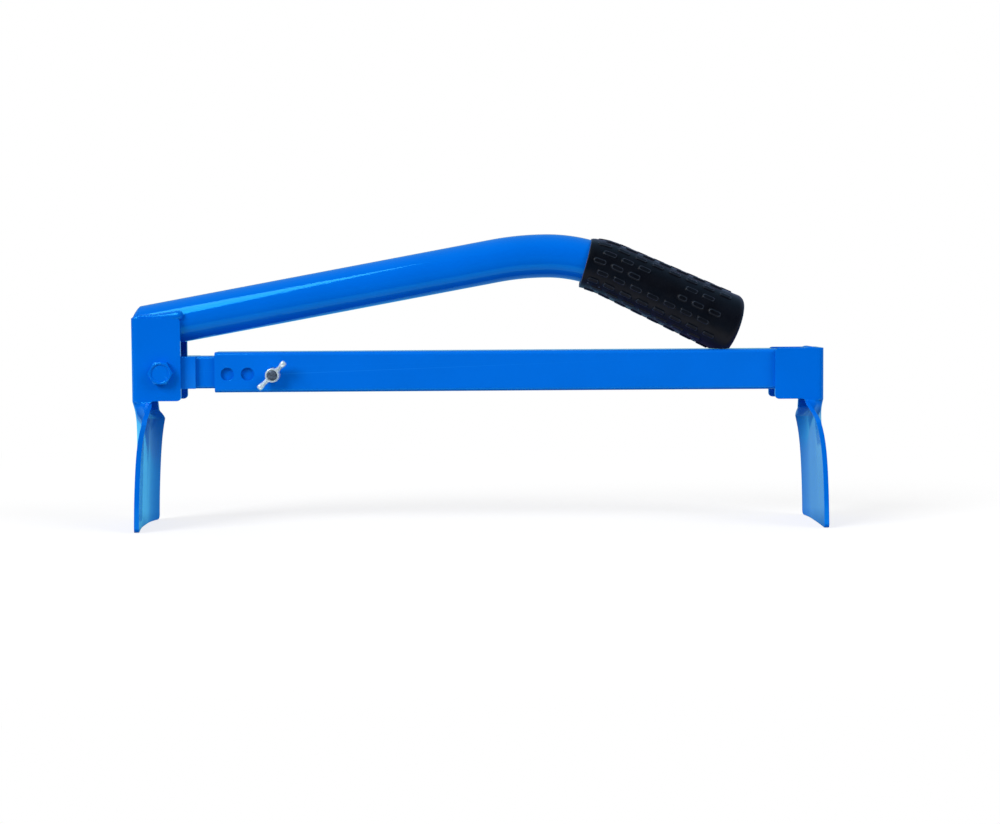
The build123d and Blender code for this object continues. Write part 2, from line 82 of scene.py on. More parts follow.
# Steps of the round and curved stretches
TURN_STEPS = 72
CORNER_STEPS = 3
FLAT_STEPS = 5
TAIL_STEPS = 2
FOLD_STEPS = 12
CHEEK_STEPS = 6
OPENING_STEPS = 18
BLADE_STEPS = 16
BEND_STEPS = 18
BORE_STEPS = 6
END_STEPS = 12
FACE_STEPS = 8
DISH_STEPS = 5
THREAD_STEPS = 8
BEVEL_STEPS = 3
BEAD_STEPS = 24
ACROSS_STEPS = 48
CROWN_STEPS = 10
TOP_STEPS = 16
FILLET_STEPS = 12

# Edges sharper than this many degrees are rounded, on sheet and tube and on the hexagons
SHEET_EDGE = 40.0
HEX_EDGE = 28.0

# How much faster the front and back folds open at their start, how the curl fades, and how high the bow lies
OPENING_POWERS = (1.4, 1.1)
CURL_FADE = 5.0
BOW_POWER = 1.5

# Rows of the grip's dashes that have a bare patch, and the share of its closed end that is one flat face
BARE_ROWS = (0, 1)
FLAT_SHARE = 0.1

# Weld ripples: length over which they wander, and how far that shifts and lifts them
WANDER_LENGTH = 3 * MM
WANDER_SHIFT = 2.0
WANDER_LIFT = 0.8

# Cheek beads: step along them; share of their radius at the left end, what it gains to the right, and the
# power of that gain; share of the ripples that is lost to the right, share of the radius that lies in the
# joint, and least share at the ends
BEAD_GRAIN = 0.3 * MM
BEAD_SLIM = 0.66
BEAD_GROWTH = 0.8
BEAD_POWER = 1.5
BEAD_SMOOTHED = 0.85
BEAD_SUNK = 0.9
BEAD_TIP = 0.02

# Bead at the handle's end: roundness of its crown, shares of the bulge outward and upward, and least height
CROWN_POWER = 0.7
CROWN_OUT = 0.8
CROWN_UP = 0.5
LEAST_HEIGHT = 0.02 * MM

# Share of the top bead's length in which it rounds off
TOP_BEAD_END = 0.12

# Depth of a thread in pitches, and how steep its flanks are
THREAD_DEPTH = 0.6
THREAD_FLANK = 2.4

# Face of a hexagon whose corners are turned off, as a share of its flats, and the slope of the turned edge
FACE_SHARE = 0.95
TURNED_SLOPE = math.radians(30.0)

# Turned edge of the nut's collar, and the rim and the chamfer of the wing nut's hub
COLLAR_INSET = 0.4 * MM
COLLAR_DROP = 0.5 * MM
HUB_RIM = 0.8 * MM
HUB_CHAMFER = 0.2 * MM

# Roundness of a wing's section, where 1 is an ellipse and less is squarer
WING_ROUNDNESS = 0.6


def length(name, description, millimetres):
    """Property for a length, given in millimetres and kept in metres."""
    return bpy.props.FloatProperty(
        name=name, description=description, default=millimetres * MM, unit="LENGTH", precision=5
    )


def angle(name, description, degrees):
    """Property for an angle, given in degrees and kept in radians."""
    return bpy.props.FloatProperty(
        name=name, description=description, default=math.radians(degrees), unit="ROTATION"
    )


def level(name, description, value, unit="NONE"):
    """Property for a number, plain or in the given unit."""
    return bpy.props.FloatProperty(name=name, description=description, default=value, unit=unit)


def linear(hex_colour):
    """Linear red, green and blue of an sRGB hex colour."""
    channels = [int(hex_colour[i:i + 2], 16) / 255 for i in (1, 3, 5)]
    return [c / 12.92 if c <= 0.04045 else ((c + 0.055) / 1.055) ** 2.4 for c in channels]


def colour(name, description, hex_colour):
    """Property for a colour, given as sRGB hex and kept as linear values."""
    return bpy.props.FloatVectorProperty(
        name=name, description=description, default=linear(hex_colour), subtype="COLOR", min=0, max=1
    )


class TongsColours(bpy.types.PropertyGroup):
    """Colours of the finishes."""

    enamel: colour("Enamel", "Blue gloss enamel on all the steelwork", "#0068DC")
    # Edge colour of the enamel: thinner paint at edges, and a painted highlight along them
    enamel_edge_highlight: colour("Enamel on edges", "Thinner enamel where it draws back from an edge", "#1C82EC")
    enamel_gloss: colour("Enamel gloss", "Cool tint of the enamel's reflections", "#38E6FF")
    rubber: colour("Rubber", "Black moulded rubber of the grip", "#04070E")
    # Painted highlight on the dashes' edges
    rubber_edge_highlight: colour("Rubber on edges", "Greyer rubber where hands have rubbed the dashes", "#4C5768")
    rubber_sheen: colour("Rubber sheen", "Cool sheen of the rubber in soft light", "#E0B8FF")
    zinc: colour("Zinc", "Bright zinc plate of the wing nut and the lock washer", "#E2F1FA")
    # Dark grey of the lock bolt
    lock_bolt_grey: colour("Oxide", "Dark oxide on the lock bolt", "#545F6E")
    nylon: colour("Nylon", "Natural nylon ring in the pivot nut", "#D9DAD3")


class JawSizes(bpy.types.PropertyGroup):
    """Sizes of the two pressed jaws."""

    sheet: length("Sheet", "Thickness of the pressed sheet", 3.0)
    fold: length("Fold", "Outer radius of the folds between spine and cheeks", 4.0)
    cheek_corner: length("Cheek corner", "Radius of the cheeks' corners", 2.5)
    moving_drop: length("Moving cheek drop", "Moving jaw's cheeks below the beam", 4.9)
    fixed_drop: length("Fixed cheek drop", "Fixed jaw's cheeks below the beam", 6.0)
    notch_tail: length("Notch tail", "Sheet left beside the fold where the cheek is notched", 7.5)
    front_notch: length("Front notch", "Height of the notch under the front cheek", 0.6)
    back_notch: length("Back notch", "Height of the notch under the back cheek", 7.0)
    notch_corner: length("Notch corner", "Radius at the notch's root", 1.8)
    shoulder_drop: length("Shoulder drop", "Height from the cheek to the blade's shoulder", 13.6)
    front_flat: length("Front flat", "Flat of the blade before its front half curls", 1.0)
    front_tail: length("Front tail", "Straight end of the blade's front half", 22.0)
    back_flat_tip: length("Back flat at tip", "Flat of the blade's tip before its back half curls", 14.0)
    back_flat: length("Back flat", "Flat of the blade's shoulder before its back half curls", 20.0)
    back_tail: length("Back tail", "Straight end of the blade's back half", 4.0)
    moving_front_tip: length("Moving front tip", "Curl of the moving blade's front edge at its tip", 3.2)
    moving_front: length("Moving front", "Curl of the moving blade's front edge at its shoulder", 8.3)
    moving_back_tip: length("Moving back tip", "Curl of the moving blade's back edge at its tip", 4.2)
    moving_back: length("Moving back", "Curl of the moving blade's back edge at its shoulder", 9.1)
    moving_bow: length("Moving bow", "Inward bow of the moving blade between its tip and its cheeks", 1.7)
    moving_lean: length("Moving lean", "Inward lean of the moving blade at its tip", 0.9)
    fixed_front_tip: length("Fixed front tip", "Curl of the fixed blade's front edge at its tip", 0.7)
    fixed_front: length("Fixed front", "Curl of the fixed blade's front edge at its shoulder", 5.2)
    fixed_back_tip: length("Fixed back tip", "Curl of the fixed blade's back edge at its tip", 1.9)
    fixed_back: length("Fixed back", "Curl of the fixed blade's back edge at its shoulder", 6.6)
    fixed_bow: length("Fixed bow", "Inward bow of the fixed blade between its tip and its cheeks", 1.0)
    blade_corner: length("Blade corner", "Radius of the blade's lower corners", 3.0)
    edge: length("Edge", "Rounding of the painted cut edges", 0.4)


class BeamSizes(bpy.types.PropertyGroup):
    """Sizes of the telescoping beam."""

    wall: length("Wall", "Wall of both tubes", 2.0)
    outer_corner: length("Outer corner", "Corner radius of the outer tube", 2.4)
    inner_corner: length("Inner corner", "Corner radius of the inner tube", 2.0)
    bore_corner: length("Bore corner", "Corner radius inside both tubes", 0.4)
    lock_hole: length("Lock hole", "Diameter of the lock holes and index holes", 8.0)
    first_spare: length("First spare hole", "First spare lock hole from the outer tube's end", 7.9)
    spare_pitch: length("Spare hole pitch", "Spacing of the two spare lock holes", 12.5)
    bolt_sag: length("Bolt sag", "Lock bolt's axis below the row of holes", 0.6)
    index_pitch: length("Index pitch", "Spacing of the index holes in the inner tube", 45.0)
    index_tail: length("Index tail", "Inner tube's end kept free of index holes", 30.0)
    pivot_hole: length("Pivot hole", "Diameter of the pivot hole", 8.12)
    edge: length("Edge", "Rounding of the painted cut edges", 0.3)


class HandleSizes(bpy.types.PropertyGroup):
    """Sizes of the bent handle tube."""

    wall: length("Wall", "Wall of the handle tube", 2.0)
    offset: length("Offset", "Distance of the handle's axis from the pivot", 29.742)
    slope: angle("Slope", "Rise of the straight run", 10.4)
    entry_radius: length("Entry radius", "Radius of the long arc before the peak", 180.0)
    bend_radius: length("Bend radius", "Radius of the short arc after the peak", 95.0)
    droop: angle("Droop", "Fall of the straight end", 25.0)


class GripSizes(bpy.types.PropertyGroup):
    """Sizes of the rubber grip and its raised dashes."""

    bore: length("Bore", "Radius of the grip's bore", 13.55)
    open_radius: length("Open radius", "Radius at the open end", 16.6)
    end_radius: length("End radius", "Radius at the closed end", 19.1)
    end_wall: length("End wall", "Thickness of the closed end", 4.0)
    end_round: length("End round", "Rounding of the closed end", 4.5)
    on_bend: length("On bend", "Stretch of the grip that lies on the bend", 16.7)
    lip_length: length("Lip length", "Length of the lip at the open end", 2.5)
    lip_height: length("Lip height", "Height of the lip at the open end", 0.3)
    mouth_round: length("Mouth round", "Rounding of the lip's edge", 0.5)
    pinch: length("Pinch", "Thinning of the mouth's wall at its top", 2.5)
    pinch_run: length("Pinch run", "Stretch over which the mouth's wall thins", 18.0)
    dome: level("Dome", "How fast the closed end falls back round its highest point, per metre", 4.2)
    dome_low: length("Dome low", "Dome's highest point below the axis", 10.0)
    rest_gap: length("Rest gap", "Gap between the flattened underside and the beam", 0.3)
    rows: bpy.props.IntProperty(name="Rows", description="Rows of dashes round the grip", default=16)
    first_row: angle("First row", "Place of one row of dashes, up from the front", 6.5)
    dash_pitch: length("Dash pitch", "Spacing of the dashes along a row", 11.4)
    dash_length: length("Dash length", "Length of a dash", 7.8)
    dash_width: length("Dash width", "Width of a dash", 3.0)
    dash_corner: length("Dash corner", "Corner radius of a dash", 1.2)
    dash_height: length("Dash height", "Height of a dash", 0.75)
    dash_edge: length("Dash edge", "Width of a dash's rounded flank", 0.6)
    first_dash: length("First dash", "First dash of the even rows from the open end", 3.9)
    shifted_dash: length("Shifted dash", "First dash of the odd rows from the open end", 8.2)
    plain_end: length("Plain end", "Plain stretch before the closed end", 11.0)
    bare_start: length("Bare start", "Start of the bare patch from the open end", 39.5)
    bare_end: length("Bare end", "End of the bare patch from the open end", 60.4)
    bare_shift: length("Bare shift", "Shift of the dashes beyond the bare patch", 2.4)
    grid: length("Grid", "Spacing of the grip's mesh", 0.4)


class FastenerSizes(bpy.types.PropertyGroup):
    """Sizes of the bolts, nuts and washers."""

    pivot_hex: length("Pivot hexagon", "Across the flats of the pivot nut", 13.0)
    pivot_head_hex: length("Head hexagon", "Across the flats of the painted head of the pivot bolt", 13.5)
    pivot_diameter: length("Pivot diameter", "Diameter of the pivot bolt", 8.0)
    pivot_thread: length("Pivot thread", "Thread pitch of the pivot bolt", 1.25)
    pivot_head: length("Pivot head", "Height of the pivot bolt's head", 5.3)
    pivot_dish: length("Pivot dish", "Radius of the dish in the pivot bolt's head", 6.1)
    dish_depth: length("Dish depth", "Depth of the dish", 0.8)
    nut_height: length("Nut height", "Height of the pivot nut's hexagon", 6.3)
    collar: length("Collar", "Radius of the pivot nut's collar", 5.7)
    ring: length("Ring", "Radius of the nylon ring", 4.8)
    lock_hex: length("Lock hexagon", "Across the flats of the lock bolt", 10.0)
    lock_diameter: length("Lock diameter", "Diameter of the lock bolt", 6.0)
    lock_thread: length("Lock thread", "Thread pitch of the lock bolt", 1.0)
    lock_head: length("Lock head", "Height of the lock bolt's head", 4.0)
    clearance: length("Clearance", "Radial clearance of the bores round the bolts", 0.06)
    hub: length("Wing nut base", "Radius of the wing nut's base", 4.5)
    hub_top: length("Wing nut hub", "Radius of the wing nut's hub at its front", 4.3)
    hub_height: length("Hub height", "Height of the wing nut's hub", 8.0)
    wing_turn: angle("Wing turn", "Turn of the wings from level", 45.0)
    wing_grain: length("Wing grain", "Spacing of the wing nut's mesh", 0.22)
    edge: length("Edge", "Rounding of the hexagons' edges", 0.2)


class WeldSizes(bpy.types.PropertyGroup):
    """Sizes of the painted weld beads."""

    cheek_radius: length("Cheek bead", "Radius of the beads on the moving jaw's cheeks", 2.5)
    cheek_lift: length("Cheek lift", "Axis of those beads over the cheek's top", 0.4)
    cheek_offset: length("Cheek offset", "Axis of those beads out from the cheek's inner face", 0.3)
    cheek_overrun: length("Cheek overrun", "Reach of those beads past the cheek's edge", 1.8)
    ripple: length("Ripple", "Spacing of the ripples along a bead", 1.9)
    ripple_height: length("Ripple height", "Height of the ripples", 0.14)
    crown: length("Crown", "Bulge of the bead that closes the handle's end", 0.7)


class StageSizes(bpy.types.PropertyGroup):
    """Camera and light of the studio."""

    camera_x: length("Camera x", "Camera's place along the beam", -3.63)
    camera_y: length("Camera y", "Camera's place in front of the beam", -1279.06)
    camera_z: length("Camera z", "Camera's height", 145.31)
    pitch: angle("Pitch", "Camera's tilt down", 3.364)
    yaw: angle("Yaw", "Camera's turn to the right", 0.759)
    roll: angle("Roll", "Camera's roll", -0.345)
    lens: level("Lens", "Focal length in millimetres on a 36 mm sensor", 73.55, "CAMERA")
    ambient: level("Ambient", "Even light from all round", 0.34)
    key: level("Key", "Power of the wide softbox at the upper left, in watts", 1090.0, "POWER")
    fill: level("Fill", "Power of the wide softbox at the upper right, in watts", 490.0, "POWER")
    window: level("Window", "Power of the softbox that the gloss mirrors, in watts", 10.7, "POWER")


def add_node(tree, kind, inputs=None, **settings):
    """Add a node with its settings, and set or link each of the given inputs."""
    made = tree.nodes.new(kind)
    for name, value in settings.items():
        setattr(made, name, value)
    for key, value in (inputs or {}).items():
        if isinstance(value, bpy.types.NodeSocket):
            tree.links.new(value, made.inputs[key])
        else:
            made.inputs[key].default_value = value
    return made


def start_material(name, **even):
    """New material, its tree, its shader with the values that are even all over, and its coordinates."""
    material = bpy.data.materials.new(name)
    material.use_nodes = True
    tree = material.node_tree
    shader = tree.nodes["Principled BSDF"]
    for key, value in even.items():
        shader.inputs[key.replace("_", " ")].default_value = value
    coordinates = add_node(tree, "ShaderNodeTexCoord").outputs["Object"]
    return material, tree, shader, coordinates


def patches(tree, coordinates, millimetres, low, high, detail=2.0):
    """Value that wanders between two levels in patches of the given real size."""
    field = add_node(
        tree, "ShaderNodeTexNoise", {"Vector": coordinates, "Scale": 1 / (millimetres * MM), "Detail": detail}
    )
    # Most of the noise lies between 0.3 and 0.7
    levels = {"Value": field.outputs["Fac"], "From Min": 0.3, "From Max": 0.7, "To Min": low, "To Max": high}
    return add_node(tree, "ShaderNodeMapRange", levels).outputs["Result"]


def relief(tree, coordinates, millimetres, depth, detail=1.0):
    """Surface relief with bumps of the given real size and depth in millimetres."""
    field = add_node(
        tree, "ShaderNodeTexNoise", {"Vector": coordinates, "Scale": 1 / (millimetres * MM), "Detail": detail}
    )
    bump = add_node(tree, "ShaderNodeBump", {"Height": field.outputs["Fac"], "Distance": depth * MM})
    return bump.outputs["Normal"]


def tinted(tree, coordinates, paint, millimetres, low, high, detail=2.0):
    """Colour whose depth wanders between two levels in patches of the given real size."""
    depth = patches(tree, coordinates, millimetres, low, high, detail)
    return add_node(tree, "ShaderNodeHueSaturation", {"Value": depth, "Color": (*paint, 1)}).outputs["Color"]


def with_edge_highlight(tree, base, edge_colour, sharp, share):
    """Base colour that turns to the edge colour, up to a share, where the mesh is as sharp as given: a
    painted highlight on edges.
    """
    point = add_node(tree, "ShaderNodeNewGeometry").outputs["Pointiness"]
    levels = {"Value": point, "From Min": 0.52, "From Max": sharp, "To Max": share}
    edge = add_node(tree, "ShaderNodeMapRange", levels).outputs["Result"]
    pair = {"Factor": edge, 6: base, 7: (*edge_colour, 1)}
    return add_node(tree, "ShaderNodeMix", pair, data_type="RGBA").outputs[2]


def dress(tree, shader, **fields):
    """Link each field to the shader's input of that name."""
    for key, field in fields.items():
        tree.links.new(field, shader.inputs[key.replace("_", " ")])


def gloss_enamel(name):
    """Gloss enamel, sprayed on steel and stoved."""
    # Deep even blue, mirror-like under a fine orange peel, and a little paler on sharp edges: thinner enamel
    # and a painted highlight
    colours = bpy.context.scene.tongs_colours
    material, tree, shader, coordinates = start_material(
        name, IOR=1.5, Specular_Tint=(*colours.enamel_gloss, 1)
    )
    # Sprayed coats differ a little in depth from place to place, over about 40 mm
    coats = tinted(tree, coordinates, colours.enamel, 40.0, 0.96, 1.03)
    # Paler on sharp edges: thinner enamel there, and a painted highlight
    paint = with_edge_highlight(tree, coats, colours.enamel_edge_highlight, 0.62, 0.5)
    # Handling leaves the gloss a little uneven, in patches of about 9 mm
    gloss = patches(tree, coordinates, 9.0, 0.06, 0.11)
    # Orange peel of about 2 mm, drawn a little deeper than the real one so that it shows
    peel = relief(tree, coordinates, 2.0, 0.008)
    dress(tree, shader, Base_Color=paint, Roughness=gloss, Normal=peel)
    return material


def moulded_rubber(name):
    """Black rubber, moulded."""
    # Near black with a satin sheen, the mould's fine eroded grain, a faint grey bloom and a painted highlight
    # on the dashes' edges
    colours = bpy.context.scene.tongs_colours
    material, tree, shader, coordinates = start_material(
        name,
        IOR=1.52,
        Specular_IOR_Level=0.12,
        Sheen_Weight=0.17,
        Sheen_Roughness=0.4,
        Sheen_Tint=(*colours.rubber_sheen, 1),
    )
    # The bloom lies in patches of about 14 mm
    bloom = tinted(tree, coordinates, colours.rubber, 14.0, 0.8, 1.5, 4.0)
    # Painted highlight: greyer on the dashes' sharp edges
    surface_tone = with_edge_highlight(tree, bloom, colours.rubber_edge_highlight, 0.58, 0.8)
    satin = patches(tree, coordinates, 6.0, 0.36, 0.5)
    # The mould's grain is about 0.4 mm, drawn at 0.7 mm so that it shows
    grain = relief(tree, coordinates, 0.7, 0.02, 3.0)
    dress(tree, shader, Base_Color=surface_tone, Roughness=satin, Normal=grain)
    return material


def bright_zinc(name):
    """Bright zinc plate on formed steel."""
    # Silvery and softly mirrored under a pale film, with cloudy patches and the shallow dents of tumbling
    colours = bpy.context.scene.tongs_colours
    material, tree, shader, coordinates = start_material(name, Metallic=0.4)
    clouds = tinted(tree, coordinates, colours.zinc, 5.0, 0.92, 1.05, 3.0)
    gloss = patches(tree, coordinates, 2.5, 0.16, 0.28, 3.0)
    # Dents of about 1.2 mm
    dents = relief(tree, coordinates, 1.2, 0.03)
    dress(tree, shader, Base_Color=clouds, Roughness=gloss, Normal=dents)
    return material


def dark_grey_steel(name):
    """Dark grey on a rolled steel screw."""
    # Charcoal grey with a dull metal gloss, a little brighter in patches
    colours = bpy.context.scene.tongs_colours
    material, tree, shader, coordinates = start_material(name, Metallic=0.6)
    surface_tone = tinted(tree, coordinates, colours.lock_bolt_grey, 1.5, 0.4, 1.9, 3.0)
    gloss = patches(tree, coordinates, 1.0, 0.35, 0.55, 3.0)
    # Sheared and rolled grain of about 0.6 mm
    grain = relief(tree, coordinates, 0.6, 0.05, 2.0)
    dress(tree, shader, Base_Color=surface_tone, Roughness=gloss, Normal=grain)
    return material


def natural_nylon(name):
    """Natural nylon, moulded."""
    # Milky off-white with a soft gloss
    colours = bpy.context.scene.tongs_colours
    material, tree, shader, coordinates = start_material(name, IOR=1.53)
    clouds = tinted(tree, coordinates, colours.nylon, 2.0, 0.92, 1.02)
    gloss = patches(tree, coordinates, 0.8, 0.35, 0.5)
    # Moulding grain of about 0.5 mm
    grain = relief(tree, coordinates, 0.5, 0.01)
    dress(tree, shader, Base_Color=clouds, Roughness=gloss, Normal=grain)
    return material


def finish_of(build):
    """The material that the given function makes, made on its first use."""
    return bpy.data.materials.get(build.__name__) or build(build.__name__)


def spread(start, end, steps):
    """Evenly spaced values after the start, up to the end."""
    return [start + (end - start) * (i + 1) / steps for i in range(steps)]


def shares(steps):
    """Evenly spaced shares from 0 to 1."""
    return [i / steps for i in range(steps + 1)]


def circle(steps):
    """Evenly spaced angles of a full turn."""
    return [2 * math.pi * i / steps for i in range(steps)]


def smooth_step(value):
    """Value held between 0 and 1, with soft ends."""
    share = min(1, max(0, value))
    return share * share * (3 - 2 * share)


def skin(rings, looped=False):
    """Points and faces of a skin through rings of points, closed at both ends or looped round."""
    count = len(rings[0])
    points = [point for ring in rings for point in ring]
    faces = []
    for i in range(len(rings) if looped else len(rings) - 1):
        here = i * count
        there = (i + 1) % len(rings) * count
        for j in range(count):
            k = (j + 1) % count
            faces.append((here + j, here + k, there + k, there + j))
    if not looped:
        faces.append(tuple(range(count - 1, -1, -1)))
        faces.append(tuple(range(len(points) - count, len(points))))
    return points, faces


def merged(*shells):
    """Points and faces of several shells as one."""
    all_points = []
    all_faces = []
    for points, faces in shells:
        first = len(all_points)
        all_points += points
        all_faces += [tuple(first + i for i in face) for face in faces]
    return all_points, all_faces


def new_object(name, shell):
    """Mesh object of a shell, its faces smooth and turned outward."""
    mesh = bpy.data.meshes.new(name)
    mesh.from_pydata(shell[0], [], shell[1])
    work = bmesh.new()
    work.from_mesh(mesh)
    bmesh.ops.recalc_face_normals(work, faces=work.faces)
    work.to_mesh(mesh)
    work.free()
    mesh.shade_smooth()
    made = bpy.data.objects.new(name, mesh)
    bpy.context.scene.collection.objects.link(made)
    return made


def add_piece(name, node, shell, finish):
    """Piece that stands for a CAD node, on the node's body."""
    piece = new_object(name, shell)
    piece.data.materials.append(finish_of(finish))
    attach(piece, frame["nodes"][node]["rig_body"])
    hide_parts(node)
    return piece


def settle(piece):
    """Apply the piece's modifiers to its mesh."""
    graph = bpy.context.evaluated_depsgraph_get()
    mesh = bpy.data.meshes.new_from_object(piece.evaluated_get(graph))
    piece.modifiers.clear()
    piece.data = mesh


def soften(piece, width, limit=SHEET_EDGE):
    """Round the edges that are sharper than the limit in degrees, and even out the normals."""
    bevel = piece.modifiers.new("edges", "BEVEL")
    bevel.width = width
    bevel.segments = BEVEL_STEPS
    bevel.limit_method = "ANGLE"
    bevel.angle_limit = math.radians(limit)
    piece.modifiers.new("normals", "WEIGHTED_NORMAL")
    settle(piece)


def turned(profile, base, axis, looped=False):
    """Shell turned about an axis across the tool; radii and heights are numbers or functions of the angle."""
    rings = []
    for radius, height in profile:
        ring = []
        for turn in circle(TURN_STEPS):
            out = radius(turn) if callable(radius) else radius
            rise = height(turn) if callable(height) else height
            ring.append(base + Vector((out * math.cos(turn), 0, out * math.sin(turn))) + axis * rise)
        rings.append(ring)
    return skin(rings, looped)


def drill(piece, places, diameter):
    """Cut round holes right across the tool at the given x and z."""
    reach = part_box("moving_jaw")[1].y
    side = [(diameter / 2, -reach), (diameter / 2, reach)]
    cutter = new_object("cutter", merged(*[turned(side, Vector((x, 0, z)), BACK) for x, z in places]))
    holes = piece.modifiers.new("holes", "BOOLEAN")
    holes.operation = "DIFFERENCE"
    holes.object = cutter
    settle(piece)
    bpy.data.objects.remove(cutter)


def rounded_corner(first, second, radius):
    """Distances from two edges, moved so that the corner between the edges becomes round."""
    if first >= radius or second >= radius:
        return first, second
    u = 1 - first / radius
    v = 1 - second / radius
    return radius - radius * u * math.sqrt(1 - v * v / 2), radius - radius * v * math.sqrt(1 - u * u / 2)


def sheet_half(section, tail_points, height, depth):
    """Half a row of the jaw's sheet at a depth under its outer face, from its middle to its edge.

    A section is its half width, the width of its fold, its tail and the inset of its edge.
    """
    half, fold, tail, inset = section
    turn = 2 * math.atan2(inset, fold + tail)
    radius = (fold - tail * math.cos(turn)) / math.sin(turn)
    inner = radius - depth
    flat = half - fold
    row = [(depth, flat * i / FLAT_STEPS, height) for i in range(FLAT_STEPS)]
    for i in range(FOLD_STEPS + 1):
        part = turn * i / FOLD_STEPS
        row.append((radius - inner * math.cos(part), flat + inner * math.sin(part), height))
    end_x, end_y, _ = row[-1]
    for reach, level_z in tail_points:
        row.append((end_x + reach * math.sin(turn), end_y + reach * math.cos(turn), level_z))
    return row


def tail_steps(sizes, tail):
    """Reach of the points along a tail, closer together where the blade's lower corner is round."""
    straight = tail - sizes.blade_corner
    return spread(0, straight, TAIL_STEPS) + spread(straight, tail, CORNER_STEPS)


def jaw_rows(sizes, low, high, half, cheek_bottom, curls, bow, lean):
    """Rows of a jaw from its top down: height, inset, and the section and tail points of each half.

    The halves are front and back, and each has its curl at the tip and at the shoulder. The blade is inset by
    its bow between the tip and the cheeks, and by its lean at the tip.
    """
    rows = []
    root = sizes.notch_tail
    near = tail_steps(sizes, root)

    # Cheeks with round corners
    depth = high.x - low.x
    end = depth - sizes.fold
    corner = sizes.cheek_corner
    far = spread(root, end - corner, CHEEK_STEPS) + spread(end - corner, end, CORNER_STEPS)
    heights = [high.z] + spread(high.z, high.z - corner, CORNER_STEPS)
    heights += spread(high.z - corner, cheek_bottom + corner, CHEEK_STEPS)
    heights += spread(cheek_bottom + corner, cheek_bottom, CORNER_STEPS)
    for height in heights:
        tail_points = [(reach, height) for reach in near]
        for reach in far:
            left, from_top = rounded_corner(end - reach, high.z - height, corner)
            if from_top < corner:
                tail_points.append((end - left, high.z - from_top))
            else:
                left, from_bottom = rounded_corner(end - reach, height - cheek_bottom, corner)
                tail_points.append((end - left, cheek_bottom + from_bottom))
        section = (half, sizes.fold, end, depth)
        rows.append((height, 0, [(section, tail_points), (section, tail_points)]))

    # On the last row, the point where the notch's round corner starts
    tail_points[len(near) - 1] = (root + sizes.notch_corner, cheek_bottom)

    # Necks beside the notches, and the folds that open into the blade
    width = high.y - low.y
    shoulder = cheek_bottom - sizes.shoulder_drop
    flats = ((sizes.front_flat, sizes.front_flat), (sizes.back_flat_tip, sizes.back_flat))
    tails = (sizes.front_tail, sizes.back_tail)
    notches = (sizes.front_notch, sizes.back_notch)

    def bowed(height):
        """Inset of the blade at a height."""
        share = height / cheek_bottom
        return bow * math.sin(math.pi * share ** BOW_POWER) + lean * (1 - share)

    def blade_section(back, share):
        """Section of a half of the blade at a share of the shoulder's height."""
        faded = share ** CURL_FADE
        tip_curl, curl = curls[back]
        tip_flat, flat = flats[back]
        inset = tip_curl + (curl - tip_curl) * faded
        return width / 2, width / 2 - tip_flat - (flat - tip_flat) * faded, tails[back], inset

    for height in spread(cheek_bottom, shoulder, OPENING_STEPS):
        in_corner = max(0, sizes.notch_corner - (cheek_bottom - height))
        tail = root + sizes.notch_corner - math.sqrt(sizes.notch_corner ** 2 - in_corner ** 2)
        neck = (half, sizes.fold, tail, sizes.fold + tail)
        halves = []
        for back in (0, 1):
            opened = cheek_bottom - notches[back] - height
            share = max(0, opened / (sizes.shoulder_drop - notches[back]))
            eased = 1 - (1 - share) ** OPENING_POWERS[back]
            section = [a + (b - a) * eased for a, b in zip(neck, blade_section(back, 1))]
            halves.append((section, [(reach, height) for reach in tail_steps(sizes, section[2])]))
        rows.append((height, bowed(height), halves))

    # Blade with round lower corners
    heights = spread(shoulder, sizes.blade_corner, BLADE_STEPS) + spread(sizes.blade_corner, 0, CORNER_STEPS)
    for height in heights:
        halves = []
        for back in (0, 1):
            section = blade_section(back, height / shoulder)
            tail_points = []
            for reach in tail_steps(sizes, tails[back]):
                left, from_tip = rounded_corner(tails[back] - reach, height, sizes.blade_corner)
                tail_points.append((tails[back] - left, from_tip))
            halves.append((section, tail_points))
        rows.append((height, bowed(height), halves))
    return rows


def jaw_shell(sizes, rows, face_x, inward):
    """Pressed jaw: its outer and inner skins, and the cut edges between them."""
    points = []
    index = {}
    for layer, depth in enumerate((0, sizes.sheet)):
        for r, (height, inset, halves) in enumerate(rows):
            for side, (section, tail_points) in zip((-1, 1), halves):
                for c, (x, y, z) in enumerate(sheet_half(section, tail_points, height, depth)):
                    if (layer, r, side * c) not in index:
                        index[layer, r, side * c] = len(points)
                        points.append(Vector((face_x + inward * (x + inset), side * y, z)))
    faces = []
    edges = {}
    for r in range(len(rows) - 1):
        columns = FLAT_STEPS + FOLD_STEPS + min(len(row[2][0][1]) for row in rows[r:r + 2])
        for c in range(-columns, columns):
            corners = [(r, c), (r, c + 1), (r + 1, c + 1), (r + 1, c)]
            for layer in (0, 1):
                faces.append([index[layer, row, column] for row, column in corners])
            for pair in zip(corners, corners[1:] + corners[:1]):
                edges.setdefault(frozenset(pair), []).append(pair)
    for pairs in edges.values():
        if len(pairs) == 1:
            (r, c), (s, d) = pairs[0]
            faces.append([index[0, r, c], index[0, s, d], index[1, s, d], index[1, r, c]])
    return points, faces


